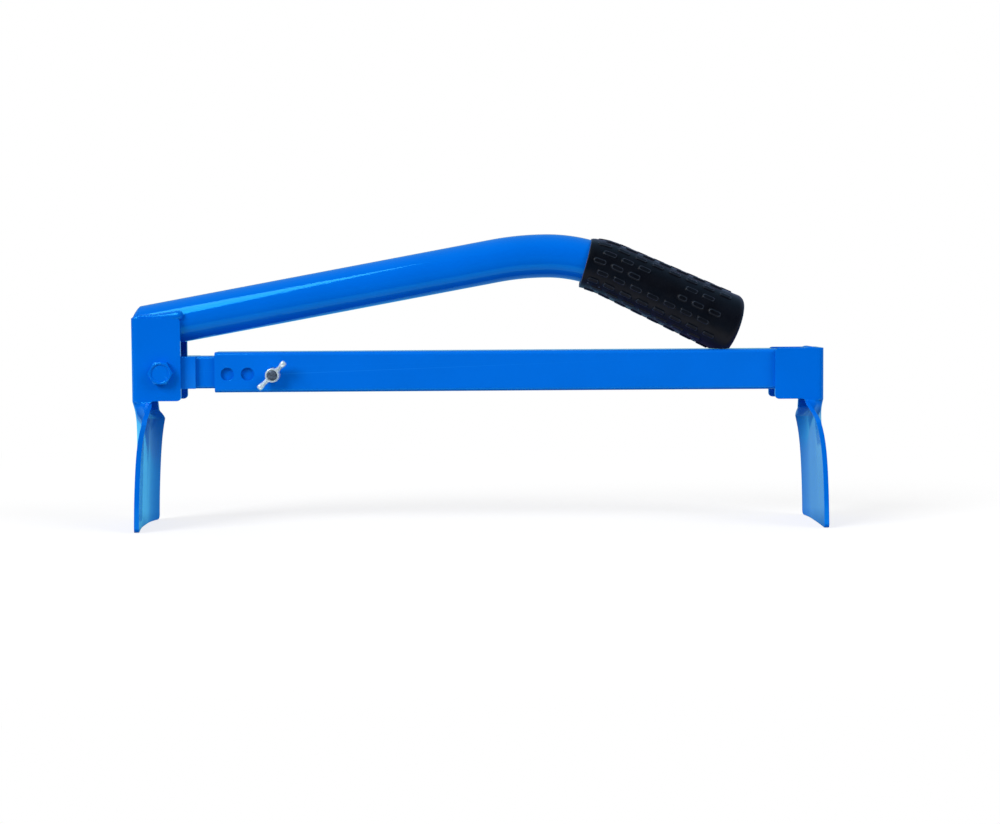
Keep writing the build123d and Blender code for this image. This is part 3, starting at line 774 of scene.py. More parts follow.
class TONGS_OT_jaws(bpy.types.Operator):
    """Build the two pressed jaws"""

    bl_idname = "tongs.jaws"
    bl_label = "Jaws"

    def execute(self, context):
        sizes = context.scene.tongs_jaws
        beam_low, beam_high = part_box("outer_tube")

        low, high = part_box("moving_jaw")
        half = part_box("pivot_washer")[0].y
        bottom = beam_low.z - sizes.moving_drop
        curls = ((sizes.moving_front_tip, sizes.moving_front), (sizes.moving_back_tip, sizes.moving_back))
        rows = jaw_rows(sizes, low, high, half, bottom, curls, sizes.moving_bow, sizes.moving_lean)
        shell = jaw_shell(sizes, rows, low.x, 1)
        jaw = add_piece("pressed_moving_jaw", "moving_jaw", shell, gloss_enamel)
        drill(jaw, [(PIVOT.x, PIVOT.z)], context.scene.tongs_beam.pivot_hole)
        soften(jaw, sizes.edge)

        low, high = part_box("fixed_jaw")
        half = beam_high.y + sizes.sheet
        bottom = beam_low.z - sizes.fixed_drop
        curls = ((sizes.fixed_front_tip, sizes.fixed_front), (sizes.fixed_back_tip, sizes.fixed_back))
        rows = jaw_rows(sizes, low, high, half, bottom, curls, sizes.fixed_bow, 0)
        shell = jaw_shell(sizes, rows, high.x, -1)
        soften(add_piece("pressed_fixed_jaw", "fixed_jaw", shell, gloss_enamel), sizes.edge)
        return {"FINISHED"}


def square_ring(x, middle, size, corner):
    """Ring of points round a square with round corners, across the beam at x."""
    inset = size / 2 - corner
    ring = []
    for quarter, (side_y, side_z) in enumerate(((1, 1), (-1, 1), (-1, -1), (1, -1))):
        for step in range(2 * CORNER_STEPS + 1):
            turn = math.pi / 2 * (quarter + step / (2 * CORNER_STEPS))
            y = side_y * inset + corner * math.cos(turn)
            z = side_z * inset + corner * math.sin(turn)
            ring.append(Vector((x, y, middle + z)))
    return ring


def square_tube(node, wall, corner, bore_corner):
    """Shell of a square tube in the node's place, open at both ends."""
    low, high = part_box(node)
    middle = (low.z + high.z) / 2
    size = high.y - low.y
    rings = [square_ring(x, middle, size, corner) for x in (low.x, high.x)]
    rings += [square_ring(x, middle, size - 2 * wall, bore_corner) for x in (high.x, low.x)]
    return skin(rings, looped=True)


class TONGS_OT_beam(bpy.types.Operator):
    """Build the outer and inner tubes of the telescoping beam"""

    bl_idname = "tongs.beam"
    bl_label = "Beam tubes"

    def execute(self, context):
        sizes = context.scene.tongs_beam
        row_z = LOCK_BOLT.z + sizes.bolt_sag

        shell = square_tube("outer_tube", sizes.wall, sizes.outer_corner, sizes.bore_corner)
        outer = add_piece("outer_square_tube", "outer_tube", shell, gloss_enamel)
        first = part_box("outer_tube")[0].x + sizes.first_spare
        drill(outer, [(x, row_z) for x in (first, first + sizes.spare_pitch, LOCK_BOLT.x)], sizes.lock_hole)
        soften(outer, sizes.edge)

        shell = square_tube("inner_tube", sizes.wall, sizes.inner_corner, sizes.bore_corner)
        inner = add_piece("inner_square_tube", "inner_tube", shell, gloss_enamel)
        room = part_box("inner_tube")[1].x - sizes.index_tail - LOCK_BOLT.x
        count = int(room / sizes.index_pitch) + 1
        drill(inner, [(LOCK_BOLT.x + sizes.index_pitch * i, row_z) for i in range(count)], sizes.lock_hole)
        drill(inner, [(PIVOT.x, PIVOT.z)], sizes.pivot_hole)
        soften(inner, sizes.edge)
        return {"FINISHED"}


class TONGS_OT_plates(bpy.types.Operator):
    """Build the plates beside the inner tube's pivot end"""

    bl_idname = "tongs.plates"
    bl_label = "Pivot plates"

    def execute(self, context):
        sizes = context.scene.tongs_beam
        for side in ("front", "back"):
            node = "pivot_plate_" + side
            low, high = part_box(node)
            radius = (high.z - low.z) / 2
            outline = [(high.x, low.z), (high.x, high.z)]
            for i in range(TURN_STEPS // 2 + 1):
                turn = math.pi / 2 + 2 * math.pi * i / TURN_STEPS
                outline.append((PIVOT.x + radius * math.cos(turn), PIVOT.z + radius * math.sin(turn)))
            rings = [[Vector((x, y, z)) for x, z in outline] for y in (low.y, high.y)]
            plate = add_piece("flat_plate_" + side, node, skin(rings), gloss_enamel)
            drill(plate, [(PIVOT.x, PIVOT.z)], sizes.pivot_hole)
            soften(plate, sizes.edge)
        return {"FINISHED"}


class HandleAxis:
    """Axis of the handle: a rising run, a long and a short arc, and a falling straight end."""

    def __init__(self, scene):
        sizes = scene.tongs_handle
        grip = scene.tongs_grip
        low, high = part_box("handle_tube")
        self.radius = high.y
        self.start_x = low.x
        self.slope = sizes.slope
        self.droop = sizes.droop
        self.entry_radius = sizes.entry_radius
        self.bend_radius = sizes.bend_radius
        self.foot = PIVOT + sizes.offset * Vector((-math.sin(self.slope), 0, math.cos(self.slope)))
        peak_z = high.z - self.radius
        entry_z = peak_z - self.entry_radius * (1 - math.cos(self.slope))
        entry_x = self.foot.x + (entry_z - self.foot.z) / math.tan(self.slope)
        self.peak = Vector((entry_x + self.entry_radius * math.sin(self.slope), 0, peak_z))
        self.bend_end = self.on_arc(self.bend_radius, self.droop)
        reach = (grip.end_radius - grip.end_round) * math.sin(self.droop)
        end_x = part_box("handle_grip")[1].x - reach - grip.end_round * (1 - math.cos(self.droop))
        self.end_run = (end_x - self.bend_end.x) / math.cos(self.droop)

    def on_run(self, x):
        """Point of the straight run at x."""
        return Vector((x, 0, self.foot.z + (x - self.foot.x) * math.tan(self.slope)))

    def on_arc(self, radius, fall):
        """Point of an arc through the peak, where it falls at an angle."""
        return self.peak + radius * Vector((math.sin(fall), 0, math.cos(fall) - 1))

    def on_end(self, distance):
        """Point of the straight end at a distance from the bend."""
        return self.bend_end + distance * Vector((math.cos(self.droop), 0, -math.sin(self.droop)))

    def stations(self, end_distance):
        """Points of the whole axis with their angles of fall."""
        found = [(self.on_run(self.start_x), -self.slope)]
        found.append((self.on_arc(self.entry_radius, -self.slope), -self.slope))
        found += [(self.on_arc(self.entry_radius, fall), fall) for fall in spread(-self.slope, 0, BEND_STEPS)]
        found += [(self.on_arc(self.bend_radius, fall), fall) for fall in spread(0, self.droop, BEND_STEPS)]
        found.append((self.on_end(end_distance), self.droop))
        return found


def round_axis(point, fall, turn, radius):
    """Point round the handle's axis, at an angle that runs from the front upward."""
    up = Vector((math.sin(fall), 0, math.cos(fall)))
    return point + radius * (math.cos(turn) * FRONT + math.sin(turn) * up)


class TONGS_OT_handle(bpy.types.Operator):
    """Build the bent handle tube"""

    bl_idname = "tongs.handle"
    bl_label = "Handle tube"

    def execute(self, context):
        axis = HandleAxis(context.scene)
        stations = axis.stations(axis.end_run - context.scene.tongs_grip.end_wall)
        along = Vector((1, 0, math.tan(axis.slope)))
        skins = []
        for radius in (axis.radius, axis.radius - context.scene.tongs_handle.wall):
            rings = []
            for point, fall in stations:
                rings.append([round_axis(point, fall, turn, radius) for turn in circle(TURN_STEPS)])
            # The end against the jaw's spine is cut upright
            rings[0] = [point + along * (axis.start_x - point.x) for point in rings[0]]
            skins.append(rings)
        shell = skin(skins[0] + skins[1][::-1], looped=True)
        tube = add_piece("bent_round_tube", "handle_tube", shell, gloss_enamel)
        soften(tube, context.scene.tongs_beam.edge)
        return {"FINISHED"}


def dash_height(sizes, along, turn, radius, run):
    """Height of the raised dashes at a place on the grip."""
    pitch = 2 * math.pi / sizes.rows
    row = round((turn - sizes.first_row) / pitch)
    off_row = (turn - sizes.first_row - row * pitch) * radius
    first = sizes.shifted_dash if row % 2 else sizes.first_dash

    # Dashes beyond the bare patch lie a little nearer to the open end
    bare = row % sizes.rows in BARE_ROWS
    if bare and along > sizes.bare_start:
        first -= sizes.bare_shift
    gap = sizes.dash_pitch - sizes.dash_length
    number = math.floor((along - first + gap / 2) / sizes.dash_pitch)
    start = first + number * sizes.dash_pitch
    end = start + sizes.dash_length
    if number < 0 or end > run - sizes.plain_end:
        return 0.0

    # A dash that reaches into the bare patch is left out, and one that reaches out of it starts at its end
    if bare and end > sizes.bare_start:
        start = max(start, sizes.bare_end)
        if end - start < sizes.dash_width:
            return 0.0

    # Distance outside the dash's outline, whose corners are round
    over_length = abs(along - (start + end) / 2) - (end - start) / 2 + sizes.dash_corner
    over_width = abs(off_row) - sizes.dash_width / 2 + sizes.dash_corner
    outside = math.hypot(max(over_length, 0), max(over_width, 0)) + min(max(over_length, over_width), 0)
    return sizes.dash_height * smooth_step(0.5 - (outside - sizes.dash_corner) / sizes.dash_edge)


class TONGS_OT_grip(bpy.types.Operator):
    """Build the rubber grip with its lip and raised dashes"""

    bl_idname = "tongs.grip"
    bl_label = "Grip"

    def execute(self, context):
        sizes = context.scene.tongs_grip
        axis = HandleAxis(context.scene)
        run = sizes.on_bend + axis.end_run
        body_end = run - sizes.end_round
        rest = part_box("outer_tube")[1].z + sizes.rest_gap
        steps = sizes.rows * round(2 * math.pi * sizes.end_radius / sizes.grid / sizes.rows)
        turns = circle(steps)
        rings = []

        def place(along, turn, radius):
            """Point on the grip, whose end is domed and whose underside is flat where it rests."""
            fall_back = sizes.dome * (radius * math.sin(turn) + sizes.dome_low) ** 2
            along -= fall_back * smooth_step(1 + (along - body_end) / (2 * sizes.end_round))
            bent = max(0, sizes.on_bend - along)
            fall = axis.droop - bent / axis.bend_radius
            point = axis.on_arc(axis.bend_radius, fall) if bent else axis.on_end(along - sizes.on_bend)
            found = round_axis(point, fall, turn, radius)
            found.z = max(found.z, rest)
            return found

        def ring(along, radii):
            """Add a ring at a distance from the mouth, its radii by angle."""
            rings.append([place(along, turn, radii(turn)) for turn in turns])

        def plain_radius(along, turn):
            """Radius without the dashes, with the lip and the thinned mouth."""
            taper = max(0, along - sizes.on_bend) / axis.end_run
            lip = sizes.lip_height * (1 - smooth_step(along / sizes.lip_length - 1))
            mouth = max(0, 1 - along / sizes.pinch_run)
            pinch = sizes.pinch * mouth * mouth * max(0, math.sin(turn)) ** 2
            return sizes.open_radius + (sizes.end_radius - sizes.open_radius) * taper + lip - pinch

        def body_radius(along, turn):
            """Radius with the dashes."""
            radius = plain_radius(along, turn)
            return radius + dash_height(sizes, along, turn, radius, run)

        # Bore, from its closed end to the mouth
        for along in [run - sizes.end_wall, sizes.on_bend] + spread(sizes.on_bend, 0, BORE_STEPS):
            ring(along, lambda turn: sizes.bore)

        # Lip and body with the dashes
        round_off = sizes.mouth_round
        for share in shares(CORNER_STEPS):
            turn_out = math.pi / 2 * share
            cut = round_off * (1 - math.sin(turn_out))
            ring(round_off * (1 - math.cos(turn_out)), lambda turn: plain_radius(0, turn) - cut)
        for along in spread(round_off, body_end, round((body_end - round_off) / sizes.grid)):
            ring(along, lambda turn: body_radius(along, turn))

        # Rounded closed end
        face = plain_radius(body_end, 0) - sizes.end_round
        for share in spread(0, 1, END_STEPS):
            turn_in = math.pi / 2 * share
            radius = face + sizes.end_round * math.cos(turn_in)
            ring(body_end + sizes.end_round * math.sin(turn_in), lambda turn: radius)
        for share in spread(1, FLAT_SHARE, FACE_STEPS):
            ring(run, lambda turn: face * share)
        add_piece("moulded_grip", "handle_grip", skin(rings), moulded_rubber)
        return {"FINISHED"}


def ripple(sizes, place, seed):
    """Height of the ripples at a distance along a weld bead, slightly uneven."""
    # The noise is nil on whole numbers, so its last coordinate lies between two of them
    wander = noise.noise(Vector((place / WANDER_LENGTH, seed, 0.5)))
    wave = math.sin(2 * math.pi * place / sizes.ripple + WANDER_SHIFT * wander)
    return sizes.ripple_height * (wave + WANDER_LIFT * wander)


class TONGS_OT_welds(bpy.types.Operator):
    """Build the painted weld beads at both jaws"""

    bl_idname = "tongs.welds"
    bl_label = "Weld beads"

    def execute(self, context):
        sizes = context.scene.tongs_welds
        self.cheek_beads(context, sizes)
        self.end_bead(context, sizes)
        self.beam_beads(sizes)
        return {"FINISHED"}

    def cheek_beads(self, context, sizes):
        """Beads on the moving jaw's cheeks, fuller toward the beam."""
        inner_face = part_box("pivot_washer")[0].y - context.scene.tongs_jaws.sheet
        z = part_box("moving_jaw")[1].z + sizes.cheek_lift
        for side, name in ((-1, "front"), (1, "back")):
            node = "handle_weld_" + name
            low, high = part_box(node)
            run = high.x + sizes.cheek_overrun - low.x
            rings = []
            for share in shares(round(run / BEAD_GRAIN)):
                place = run * share
                full = sizes.cheek_radius * (BEAD_SLIM + BEAD_GROWTH * share ** BEAD_POWER)
                dome = min(1, max(BEAD_TIP, place / full), max(BEAD_TIP, (run - place) / full))
                rough = ripple(sizes, place, side) * (1 - BEAD_SMOOTHED * share)
                radius = full * math.sqrt(1 - (1 - dome) ** 2) + rough * dome
                lift = max(0, full - BEAD_SUNK * sizes.cheek_radius)
                centre = Vector((low.x + place, side * (inner_face + sizes.cheek_offset), z + lift))
                ring = []
                for turn in circle(BEAD_STEPS):
                    ring.append(centre + radius * (math.cos(turn) * BACK + math.sin(turn) * UP))
                rings.append(ring)
            add_piece("cheek_bead_" + name, node, skin(rings), gloss_enamel)

    def end_bead(self, context, sizes):
        """Bead that slopes over the spine's top and closes the handle tube's end."""
        axis = HandleAxis(context.scene)
        low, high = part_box("handle_weld_end")
        middle = axis.on_run(high.x).z
        rings = []
        for way in shares(ACROSS_STEPS):
            y = low.y + (high.y - low.y) * way
            rise = math.sqrt(max(0, axis.radius ** 2 - y * y)) / math.cos(axis.slope)
            top = max(middle + rise, low.z + LEAST_HEIGHT)
            bulge = (sizes.crown + ripple(sizes, y, seed=5.0)) * (top - low.z) / (high.z - low.z)
            ring = [Vector((high.x, y, low.z))]
            for share in shares(CROWN_STEPS):
                out = bulge * math.sin(math.pi * share) ** CROWN_POWER
                x = low.x + (high.x - low.x) * share - CROWN_OUT * out
                ring.append(Vector((max(x, low.x), y, low.z + (top - low.z) * share + CROWN_UP * out)))
            rings.append(ring)
        add_piece("handle_end_bead", "handle_weld_end", skin(rings), gloss_enamel)

    def beam_beads(self, sizes):
        """Low bead on the beam's top and fillet bead under it, at the fixed jaw's spine."""
        low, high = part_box("fixed_jaw_weld_top")
        rings = []
        for way in shares(ACROSS_STEPS):
            y = low.y + (high.y - low.y) * way
            end = math.sqrt(min(1, (1 - abs(2 * way - 1)) / TOP_BEAD_END))
            crown = (high.z - low.z + ripple(sizes, y, seed=9.0)) * end
            ring = []
            for share in shares(TOP_STEPS):
                x = low.x + (high.x - low.x) * share
                ring.append(Vector((x, y, low.z + crown * math.sin(math.pi * share))))
            rings.append(ring)
        add_piece("beam_top_bead", "fixed_jaw_weld_top", skin(rings), gloss_enamel)

        low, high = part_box("fixed_jaw_weld_under")
        leg = high.x - low.x
        rings = []
        for way in shares(ACROSS_STEPS):
            y = low.y + (high.y - low.y) * way
            ring = [Vector((high.x, y, high.z))]
            for share in shares(FILLET_STEPS):
                turn = math.pi / 2 * share
                reach = leg + ripple(sizes, y, seed=13.0) * math.sin(2 * turn)
                ring.append(Vector((high.x - reach * math.cos(turn), y, high.z - reach * math.sin(turn))))
            rings.append(ring)
        add_piece("beam_under_bead", "fixed_jaw_weld_under", skin(rings), gloss_enamel)


def hexagon(across_flats):
    """Radius of a hexagon with level flats, by angle."""

    def radius(turn):
        from_flat = (turn - math.pi / 3) % (math.pi / 3) - math.pi / 6
        return across_flats / 2 / math.cos(from_flat)

    return radius


def turned_edge(across_flats, height):
    """Radius of a hexagon's face with its corners turned off, and the height of the turned edge by angle."""
    side = hexagon(across_flats)
    face = FACE_SHARE * across_flats / 2
    return face, lambda turn: height - (side(turn) - face) * math.tan(TURNED_SLOPE)


def thread(diameter, pitch, start, end):
    """Profile of a rolled screw thread from one height to another, run out at its end."""
    depth = THREAD_DEPTH * pitch

    def ridge(height):
        """Radius of the thread at a height, by angle."""
        run_out = min(1, (end - height) / pitch)

        def radius(turn):
            share = (height / pitch - turn / (2 * math.pi)) % 1
            crest = min(1, THREAD_FLANK * abs(share - 0.5))
            return diameter / 2 - depth * (1 - run_out * (1 - crest))

        return radius

    steps = round((end - start) / pitch * THREAD_STEPS)
    return [(ridge(height), height) for height in [start] + spread(start, end, steps)]


def hex_bolt(seat, axis, across_flats, head, dish, dish_depth, diameter, pitch, thread_start, reach):
    """Hexagon bolt whose shank leaves its seat along the axis, with a dish in its head."""
    side = hexagon(across_flats)
    face, edge = turned_edge(across_flats, head)
    profile = [(dish / 2, dish_depth - head)]
    for share in shares(DISH_STEPS):
        turn_out = math.pi / 2 * share
        rim = dish - dish_depth * math.cos(turn_out)
        profile.append((rim, dish_depth * (1 - math.sin(turn_out)) - head))
    profile += [
        (face, -head),
        (side, lambda turn: -edge(turn)),
        (side, 0),
        (diameter / 2, 0),
        (diameter / 2, thread_start - pitch / 4),
    ]
    return turned(profile + thread(diameter, pitch, thread_start, reach), seat, axis)


def flat_ring(base, axis, bore, radius, height):
    """Flat ring standing on its base along the axis."""
    return turned([(bore, 0), (radius, 0), (radius, height), (bore, height)], base, axis, looped=True)


class TONGS_OT_pivot(bpy.types.Operator):
    """Build the pivot bolt with its washer, lock nut and nylon ring"""

    bl_idname = "tongs.pivot"
    bl_label = "Pivot bolt and nut"

    def execute(self, context):
        sizes = context.scene.tongs_fasteners
        bolt_low, bolt_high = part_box("pivot_bolt")
        nut_low, nut_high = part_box("pivot_nut")
        ring_low, ring_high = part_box("pivot_nut_ring")
        washer_low, washer_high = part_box("pivot_washer")
        bore = sizes.pivot_diameter / 2 + sizes.clearance

        seat_y = bolt_low.y + sizes.pivot_head
        shell = hex_bolt(
            PIVOT + BACK * seat_y,
            BACK,
            across_flats=sizes.pivot_head_hex,
            head=sizes.pivot_head,
            dish=sizes.pivot_dish,
            dish_depth=sizes.dish_depth,
            diameter=sizes.pivot_diameter,
            pitch=sizes.pivot_thread,
            thread_start=nut_high.y - sizes.pivot_thread - seat_y,
            reach=bolt_high.y - seat_y,
        )
        bolt = add_piece("painted_pivot_bolt", "pivot_bolt", shell, gloss_enamel)
        soften(bolt, sizes.edge, HEX_EDGE)

        radius = (washer_high.x - washer_low.x) / 2
        shell = flat_ring(PIVOT + BACK * washer_low.y, BACK, bore, radius, washer_high.y - washer_low.y)
        soften(add_piece("painted_pivot_washer", "pivot_washer", shell, gloss_enamel), sizes.edge)

        side = hexagon(sizes.pivot_hex)
        face, edge = turned_edge(sizes.pivot_hex, sizes.nut_height)
        top = nut_high.y - nut_low.y
        seat = ring_low.y - nut_low.y
        profile = [
            (bore, 0),
            (side, 0),
            (side, edge),
            (face, sizes.nut_height),
            (sizes.collar, sizes.nut_height),
            (sizes.collar, top - COLLAR_DROP),
            (sizes.collar - COLLAR_INSET, top),
            (sizes.ring, top),
            (sizes.ring, seat),
            (bore, seat),
        ]
        shell = turned(profile, PIVOT + BACK * nut_low.y, BACK, looped=True)
        soften(add_piece("painted_pivot_nut", "pivot_nut", shell, gloss_enamel), sizes.edge, HEX_EDGE)

        shell = flat_ring(PIVOT + BACK * ring_low.y, BACK, bore, sizes.ring, ring_high.y - ring_low.y)
        soften(add_piece("moulded_nut_ring", "pivot_nut_ring", shell, natural_nylon), sizes.edge)
        return {"FINISHED"}


# Stations along a wing in millimetres: reach from the axis, lower and upper height, and width
WING_STATIONS = (
    (3.4, 1.2, 7.4, 3.6),
    (4.3, 1.3, 7.7, 3.2),
    (5.8, 2.4, 8.8, 2.8),
    (7.4, 4.0, 10.6, 2.8),
    (8.5, 5.0, 11.5, 3.3),
    (9.6, 5.8, 12.0, 3.7),
    (10.7, 6.4, 11.8, 3.6),
    (11.3, 7.0, 11.2, 3.2),
    (11.6, 8.0, 10.2, 2.3),
)


def squarer(side):
    """Sine or cosine of an angle, moved so that a section with it is squarer than an ellipse."""
    return math.copysign(abs(side) ** WING_ROUNDNESS, side)


def wing_shell(base, turn):
    """One wing of the wing nut: a web that leaves the hub, rises, and thickens into a round tip."""
    out = Vector((math.cos(turn), 0, math.sin(turn)))
    across = Vector((-math.sin(turn), 0, math.cos(turn)))
    rings = []
    for reach, low, high, width in WING_STATIONS:
        ring = []
        for part in circle(BEAD_STEPS):
            wide = squarer(math.cos(part)) * width / 2
            tall = squarer(math.sin(part)) * (high - low) / 2 + (low + high) / 2
            ring.append(base + (out * reach + across * wide + FRONT * tall) * MM)
        rings.append(ring)
    return skin(rings)


class TONGS_OT_lock(bpy.types.Operator):
    """Build the lock bolt, its washer and the wing nut"""

    bl_idname = "tongs.lock"
    bl_label = "Lock bolt and wing nut"

    def execute(self, context):
        sizes = context.scene.tongs_fasteners
        bolt_low, bolt_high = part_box("lock_bolt")
        washer_low, washer_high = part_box("lock_washer")
        bore = sizes.lock_diameter / 2 + sizes.clearance

        seat_y = bolt_high.y - sizes.lock_head
        shell = hex_bolt(
            LOCK_BOLT + BACK * seat_y,
            FRONT,
            across_flats=sizes.lock_hex,
            head=sizes.lock_head,
            dish=sizes.lock_diameter / 2,
            dish_depth=sizes.dish_depth / 2,
            diameter=sizes.lock_diameter,
            pitch=sizes.lock_thread,
            thread_start=seat_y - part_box("inner_tube")[0].y,
            reach=seat_y - bolt_low.y,
        )
        soften(add_piece("dark_lock_bolt", "lock_bolt", shell, dark_grey_steel), sizes.edge, HEX_EDGE)

        radius = (washer_high.x - washer_low.x) / 2
        shell = flat_ring(LOCK_BOLT + BACK * washer_low.y, BACK, bore, radius, washer_high.y - washer_low.y)
        soften(add_piece("plated_lock_washer", "lock_washer", shell, bright_zinc), sizes.edge)

        base = LOCK_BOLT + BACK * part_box("wing_nut")[1].y
        profile = [
            (bore, 0),
            (sizes.hub, 0),
            (sizes.hub, HUB_RIM),
            (sizes.hub_top, sizes.hub_height),
            (bore + HUB_CHAMFER, sizes.hub_height),
            (bore, sizes.hub_height - HUB_CHAMFER),
        ]
        hub = turned(profile, base, FRONT, looped=True)
        wings = [wing_shell(base, sizes.wing_turn + turn) for turn in (0, math.pi)]
        nut = add_piece("plated_wing_nut", "wing_nut", merged(hub, *wings), bright_zinc)
        remesh = nut.modifiers.new("one_skin", "REMESH")
        remesh.mode = "VOXEL"
        remesh.voxel_size = sizes.wing_grain
        remesh.use_smooth_shade = True
        smooth = nut.modifiers.new("formed", "SMOOTH")
        smooth.factor = 0.5
        smooth.iterations = 6
        settle(nut)
        return {"FINISHED"}


def add_softbox(name, place, target, width, height, power):
    """Rectangular light that faces a target."""
    data = bpy.data.lights.new(name, "AREA")
    data.shape = "RECTANGLE"
    data.size = width
    data.size_y = height
    data.energy = power
    light = bpy.data.objects.new(name, data)
    bpy.context.scene.collection.objects.link(light)
    away = (place - target).normalized()
    tall = (UP - away * UP.dot(away)).normalized()
    turn = Matrix((tall.cross(away), tall, away)).transposed().to_4x4()
    light.matrix_world = Matrix.Translation(place) @ turn
    light.visible_camera = False
    return light


def studio_floor(name):
    """Pale paper floor, seen white with the tool's soft shadow; the gloss sees it pale only in front."""
    material = bpy.data.materials.new(name)
    material.use_nodes = True
    tree = material.node_tree
    tree.nodes.remove(tree.nodes["Principled BSDF"])
    path = add_node(tree, "ShaderNodeLightPath").outputs
    coordinates = add_node(tree, "ShaderNodeTexCoord").outputs["Object"]

    # To the eye, paper that turns pure white away from the tool
    oval = add_node(tree, "ShaderNodeVectorMath", {0: coordinates, 1: (0.45, 1, 0)}, operation="MULTIPLY")
    distance = add_node(tree, "ShaderNodeVectorMath", {0: oval.outputs[0]}, operation="LENGTH")
    far = add_node(
        tree,
        "ShaderNodeMapRange",
        {"Value": distance.outputs["Value"], "From Min": 0.2, "From Max": 0.6},
        interpolation_type="SMOOTHSTEP",
    ).outputs["Result"]
    paper = add_node(tree, "ShaderNodeBsdfDiffuse", {"Color": (0.33, 0.33, 0.33, 1)}).outputs[0]
    lift = add_node(tree, "ShaderNodeEmission", {"Strength": 0.735}).outputs[0]
    near_white = add_node(tree, "ShaderNodeAddShader", {0: paper, 1: lift}).outputs[0]
    white = add_node(tree, "ShaderNodeEmission", {"Strength": 1.0}).outputs[0]
    seen = add_node(tree, "ShaderNodeMixShader", {0: far, 1: near_white, 2: white}).outputs[0]

    # In the gloss, pale in front of the tool, shaded under and behind it, and the cool backdrop beyond
    place = add_node(tree, "ShaderNodeSeparateXYZ", {0: coordinates}).outputs
    zones = []
    for way, start, end in (
        ("Y", -0.20, -0.15),
        ("Y", -0.04, -0.05),
        ("Y", -0.04, 0.08),
        ("X", -0.05, 0.05),
    ):
        levels = {"Value": place[way], "From Min": start, "From Max": end}
        zones.append(add_node(tree, "ShaderNodeMapRange", levels).outputs["Result"])
    front, before_tool, beyond, right = zones
    band = add_node(tree, "ShaderNodeMath", {0: front, 1: before_tool}, operation="MULTIPLY").outputs[0]
    backdrop = add_node(
        tree,
        "ShaderNodeMix",
        {"Factor": right, 6: (0.16, 0.8, 1.15, 1), 7: (0.22, 0.6, 0.85, 1)},
        data_type="RGBA",
    ).outputs[2]
    shaded = add_node(
        tree, "ShaderNodeMix", {"Factor": beyond, 6: (0.04, 0.2, 0.36, 1), 7: backdrop}, data_type="RGBA"
    ).outputs[2]
    in_gloss = add_node(
        tree, "ShaderNodeMix", {"Factor": band, 6: shaded, 7: (1.4, 1.4, 1.4, 1)}, data_type="RGBA"
    ).outputs[2]
    mirrored = add_node(tree, "ShaderNodeEmission", {"Color": in_gloss}).outputs[0]
    bounce = add_node(tree, "ShaderNodeBsdfDiffuse", {"Color": (0.55, 0.55, 0.55, 1)}).outputs[0]
    choice = {0: path["Is Glossy Ray"], 1: bounce, 2: mirrored}
    unseen = add_node(tree, "ShaderNodeMixShader", choice).outputs[0]
    choice = {0: path["Is Camera Ray"], 1: unseen, 2: seen}
    surface = add_node(tree, "ShaderNodeMixShader", choice).outputs[0]
    tree.links.new(surface, tree.nodes["Material Output"].inputs["Surface"])
    return material


def studio_world(ambient):
    """World that is white to the eye and an even light.

    In the gloss it is a cool ceiling, darker toward the front, over a lit horizon.
    """
    world = bpy.data.worlds.new("studio")
    world.use_nodes = True
    tree = world.node_tree
    background = tree.nodes["Background"]
    direction = add_node(tree, "ShaderNodeTexCoord").outputs["Generated"]
    back_and_up = {0: direction, 1: (0, 0.75, 0.8)}
    height = add_node(tree, "ShaderNodeVectorMath", back_and_up, operation="DOT_PRODUCT").outputs["Value"]
    rise = add_node(tree, "ShaderNodeSeparateXYZ", {0: direction}).outputs["Z"]
    zones = []
    for way, start, end, most in (
        (height, -0.1, 0.8, 0.75),
        (rise, 0.05, 0.4, 1.0),
        (rise, 0.08, 0.04, 1.0),
    ):
        levels = {"Value": way, "From Min": start, "From Max": end, "To Max": most}
        zones.append(add_node(tree, "ShaderNodeMapRange", levels).outputs["Result"])
    ceiling, above, horizon = zones
    lit = add_node(tree, "ShaderNodeMath", {0: above, 1: horizon}, operation="MAXIMUM").outputs[0]
    ceiling = add_node(tree, "ShaderNodeMath", {0: ceiling, 1: lit}, operation="MULTIPLY").outputs[0]
    path = add_node(tree, "ShaderNodeLightPath").outputs
    clear = add_node(
        tree,
        "ShaderNodeMath",
        {0: path["Is Glossy Ray"], 1: path["Is Transmission Ray"]},
        operation="MAXIMUM",
    ).outputs[0]
    unseen = add_node(tree, "ShaderNodeMix", {"Factor": clear, 2: ambient, 3: ceiling}).outputs[0]
    seen = add_node(tree, "ShaderNodeMix", {"Factor": path["Is Camera Ray"], 2: unseen, 3: 1.0}).outputs[0]
    tint = add_node(
        tree,
        "ShaderNodeMix",
        {"Factor": clear, 6: (1, 1, 1, 1), 7: (0.26, 0.72, 1.0, 1)},
        data_type="RGBA",
    ).outputs[2]
    tree.links.new(seen, background.inputs["Strength"])
    tree.links.new(tint, background.inputs["Color"])
    return world


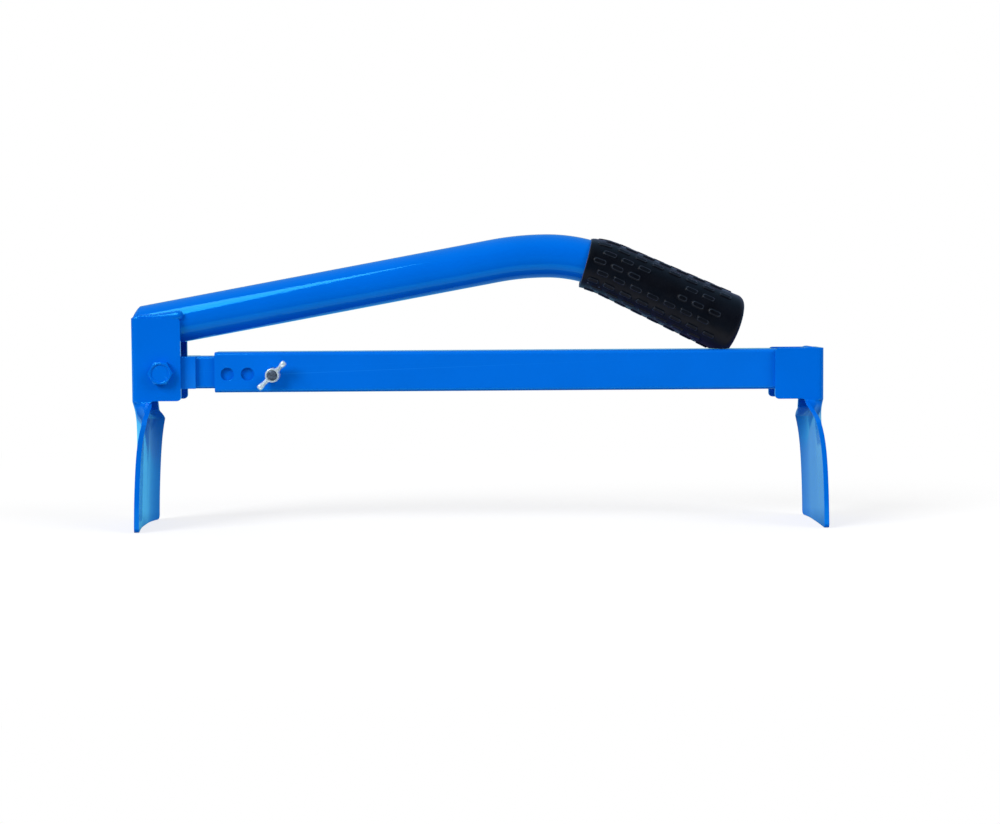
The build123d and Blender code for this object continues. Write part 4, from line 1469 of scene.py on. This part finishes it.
class TONGS_OT_stage(bpy.types.Operator):
    """Build the floor, the lights, the world and the camera"""

    bl_idname = "tongs.stage"
    bl_label = "Stage"

    def execute(self, context):
        scene = context.scene
        sizes = scene.tongs_stage
        reach = 5.0
        drop = Vector((0, 0, -0.2 * MM))
        corners = [drop + reach * Vector(side) for side in ((-1, -1, 0), (1, -1, 0), (1, 1, 0), (-1, 1, 0))]
        floor = new_object("studio_floor", (corners, [(0, 1, 2, 3)]))
        floor.data.materials.append(studio_floor("pale_paper"))
        scene.world = studio_world(sizes.ambient)

        # Two wide softboxes light the tool, and a smaller one above its left end only shines in the gloss
        middle = Vector((0, 0, 0.1))
        wide = 6.0
        key = add_softbox("key_softbox", Vector((-7.4, -7.4, 6.2)), middle, wide, wide, sizes.key)
        fill = add_softbox("fill_softbox", Vector((8.0, -6.0, 6.0)), middle, wide, wide, sizes.fill)
        key.visible_glossy = False
        fill.visible_glossy = False
        place = Vector((-0.595, -0.715, 0.879))
        left_end = Vector((-0.355, -0.135, 0.101))
        window = add_softbox("window_softbox", place, left_end, 0.5, 0.8, sizes.window)
        window.visible_diffuse = False

        data = bpy.data.cameras.new("camera")
        data.lens = sizes.lens
        data.sensor_width = 36.0
        data.clip_end = 50.0
        camera = bpy.data.objects.new("camera", data)
        scene.collection.objects.link(camera)
        camera.matrix_world = (
            Matrix.Translation((sizes.camera_x, sizes.camera_y, sizes.camera_z))
            @ Matrix.Rotation(-sizes.yaw, 4, "Z")
            @ Matrix.Rotation(math.pi / 2 - sizes.pitch, 4, "X")
            @ Matrix.Rotation(sizes.roll, 4, "Z")
        )
        scene.camera = camera
        scene.view_settings.view_transform = "Standard"
        return {"FINISHED"}


OPERATORS = (
    TONGS_OT_jaws,
    TONGS_OT_beam,
    TONGS_OT_plates,
    TONGS_OT_handle,
    TONGS_OT_grip,
    TONGS_OT_welds,
    TONGS_OT_pivot,
    TONGS_OT_lock,
    TONGS_OT_stage,
)
GROUPS = {
    "tongs_colours": TongsColours,
    "tongs_jaws": JawSizes,
    "tongs_beam": BeamSizes,
    "tongs_handle": HandleSizes,
    "tongs_grip": GripSizes,
    "tongs_fasteners": FastenerSizes,
    "tongs_welds": WeldSizes,
    "tongs_stage": StageSizes,
}


class TONGS_PT_panel(bpy.types.Panel):
    """Panel with the tongs' pieces and their sizes"""

    bl_idname = "TONGS_PT_panel"
    bl_label = "Block Laying Tongs"
    bl_space_type = "VIEW_3D"
    bl_region_type = "UI"
    bl_category = "Tongs"

    def draw(self, context):
        for operator in OPERATORS:
            self.layout.operator(operator.bl_idname)
        for name, group in GROUPS.items():
            box = self.layout.box()
            box.label(text=group.__doc__)
            for key in group.__annotations__:
                box.prop(getattr(context.scene, name), key)


def register():
    """Add the property groups, the operators and the panel."""
    for name, group in GROUPS.items():
        bpy.utils.register_class(group)
        setattr(bpy.types.Scene, name, bpy.props.PointerProperty(type=group))
    for cls in (*OPERATORS, TONGS_PT_panel):
        bpy.utils.register_class(cls)


def unregister():
    """Take away what register added."""
    for cls in (TONGS_PT_panel, *reversed(OPERATORS)):
        bpy.utils.unregister_class(cls)
    for name, group in GROUPS.items():
        delattr(bpy.types.Scene, name)
        bpy.utils.unregister_class(group)


def main():
    """Build the tongs and their stage."""
    register()
    bpy.ops.tongs.jaws()
    bpy.ops.tongs.beam()
    bpy.ops.tongs.plates()
    bpy.ops.tongs.handle()
    bpy.ops.tongs.grip()
    bpy.ops.tongs.welds()
    bpy.ops.tongs.pivot()
    bpy.ops.tongs.lock()
    bpy.ops.tongs.stage()


if __name__ == "__main__":
    main()
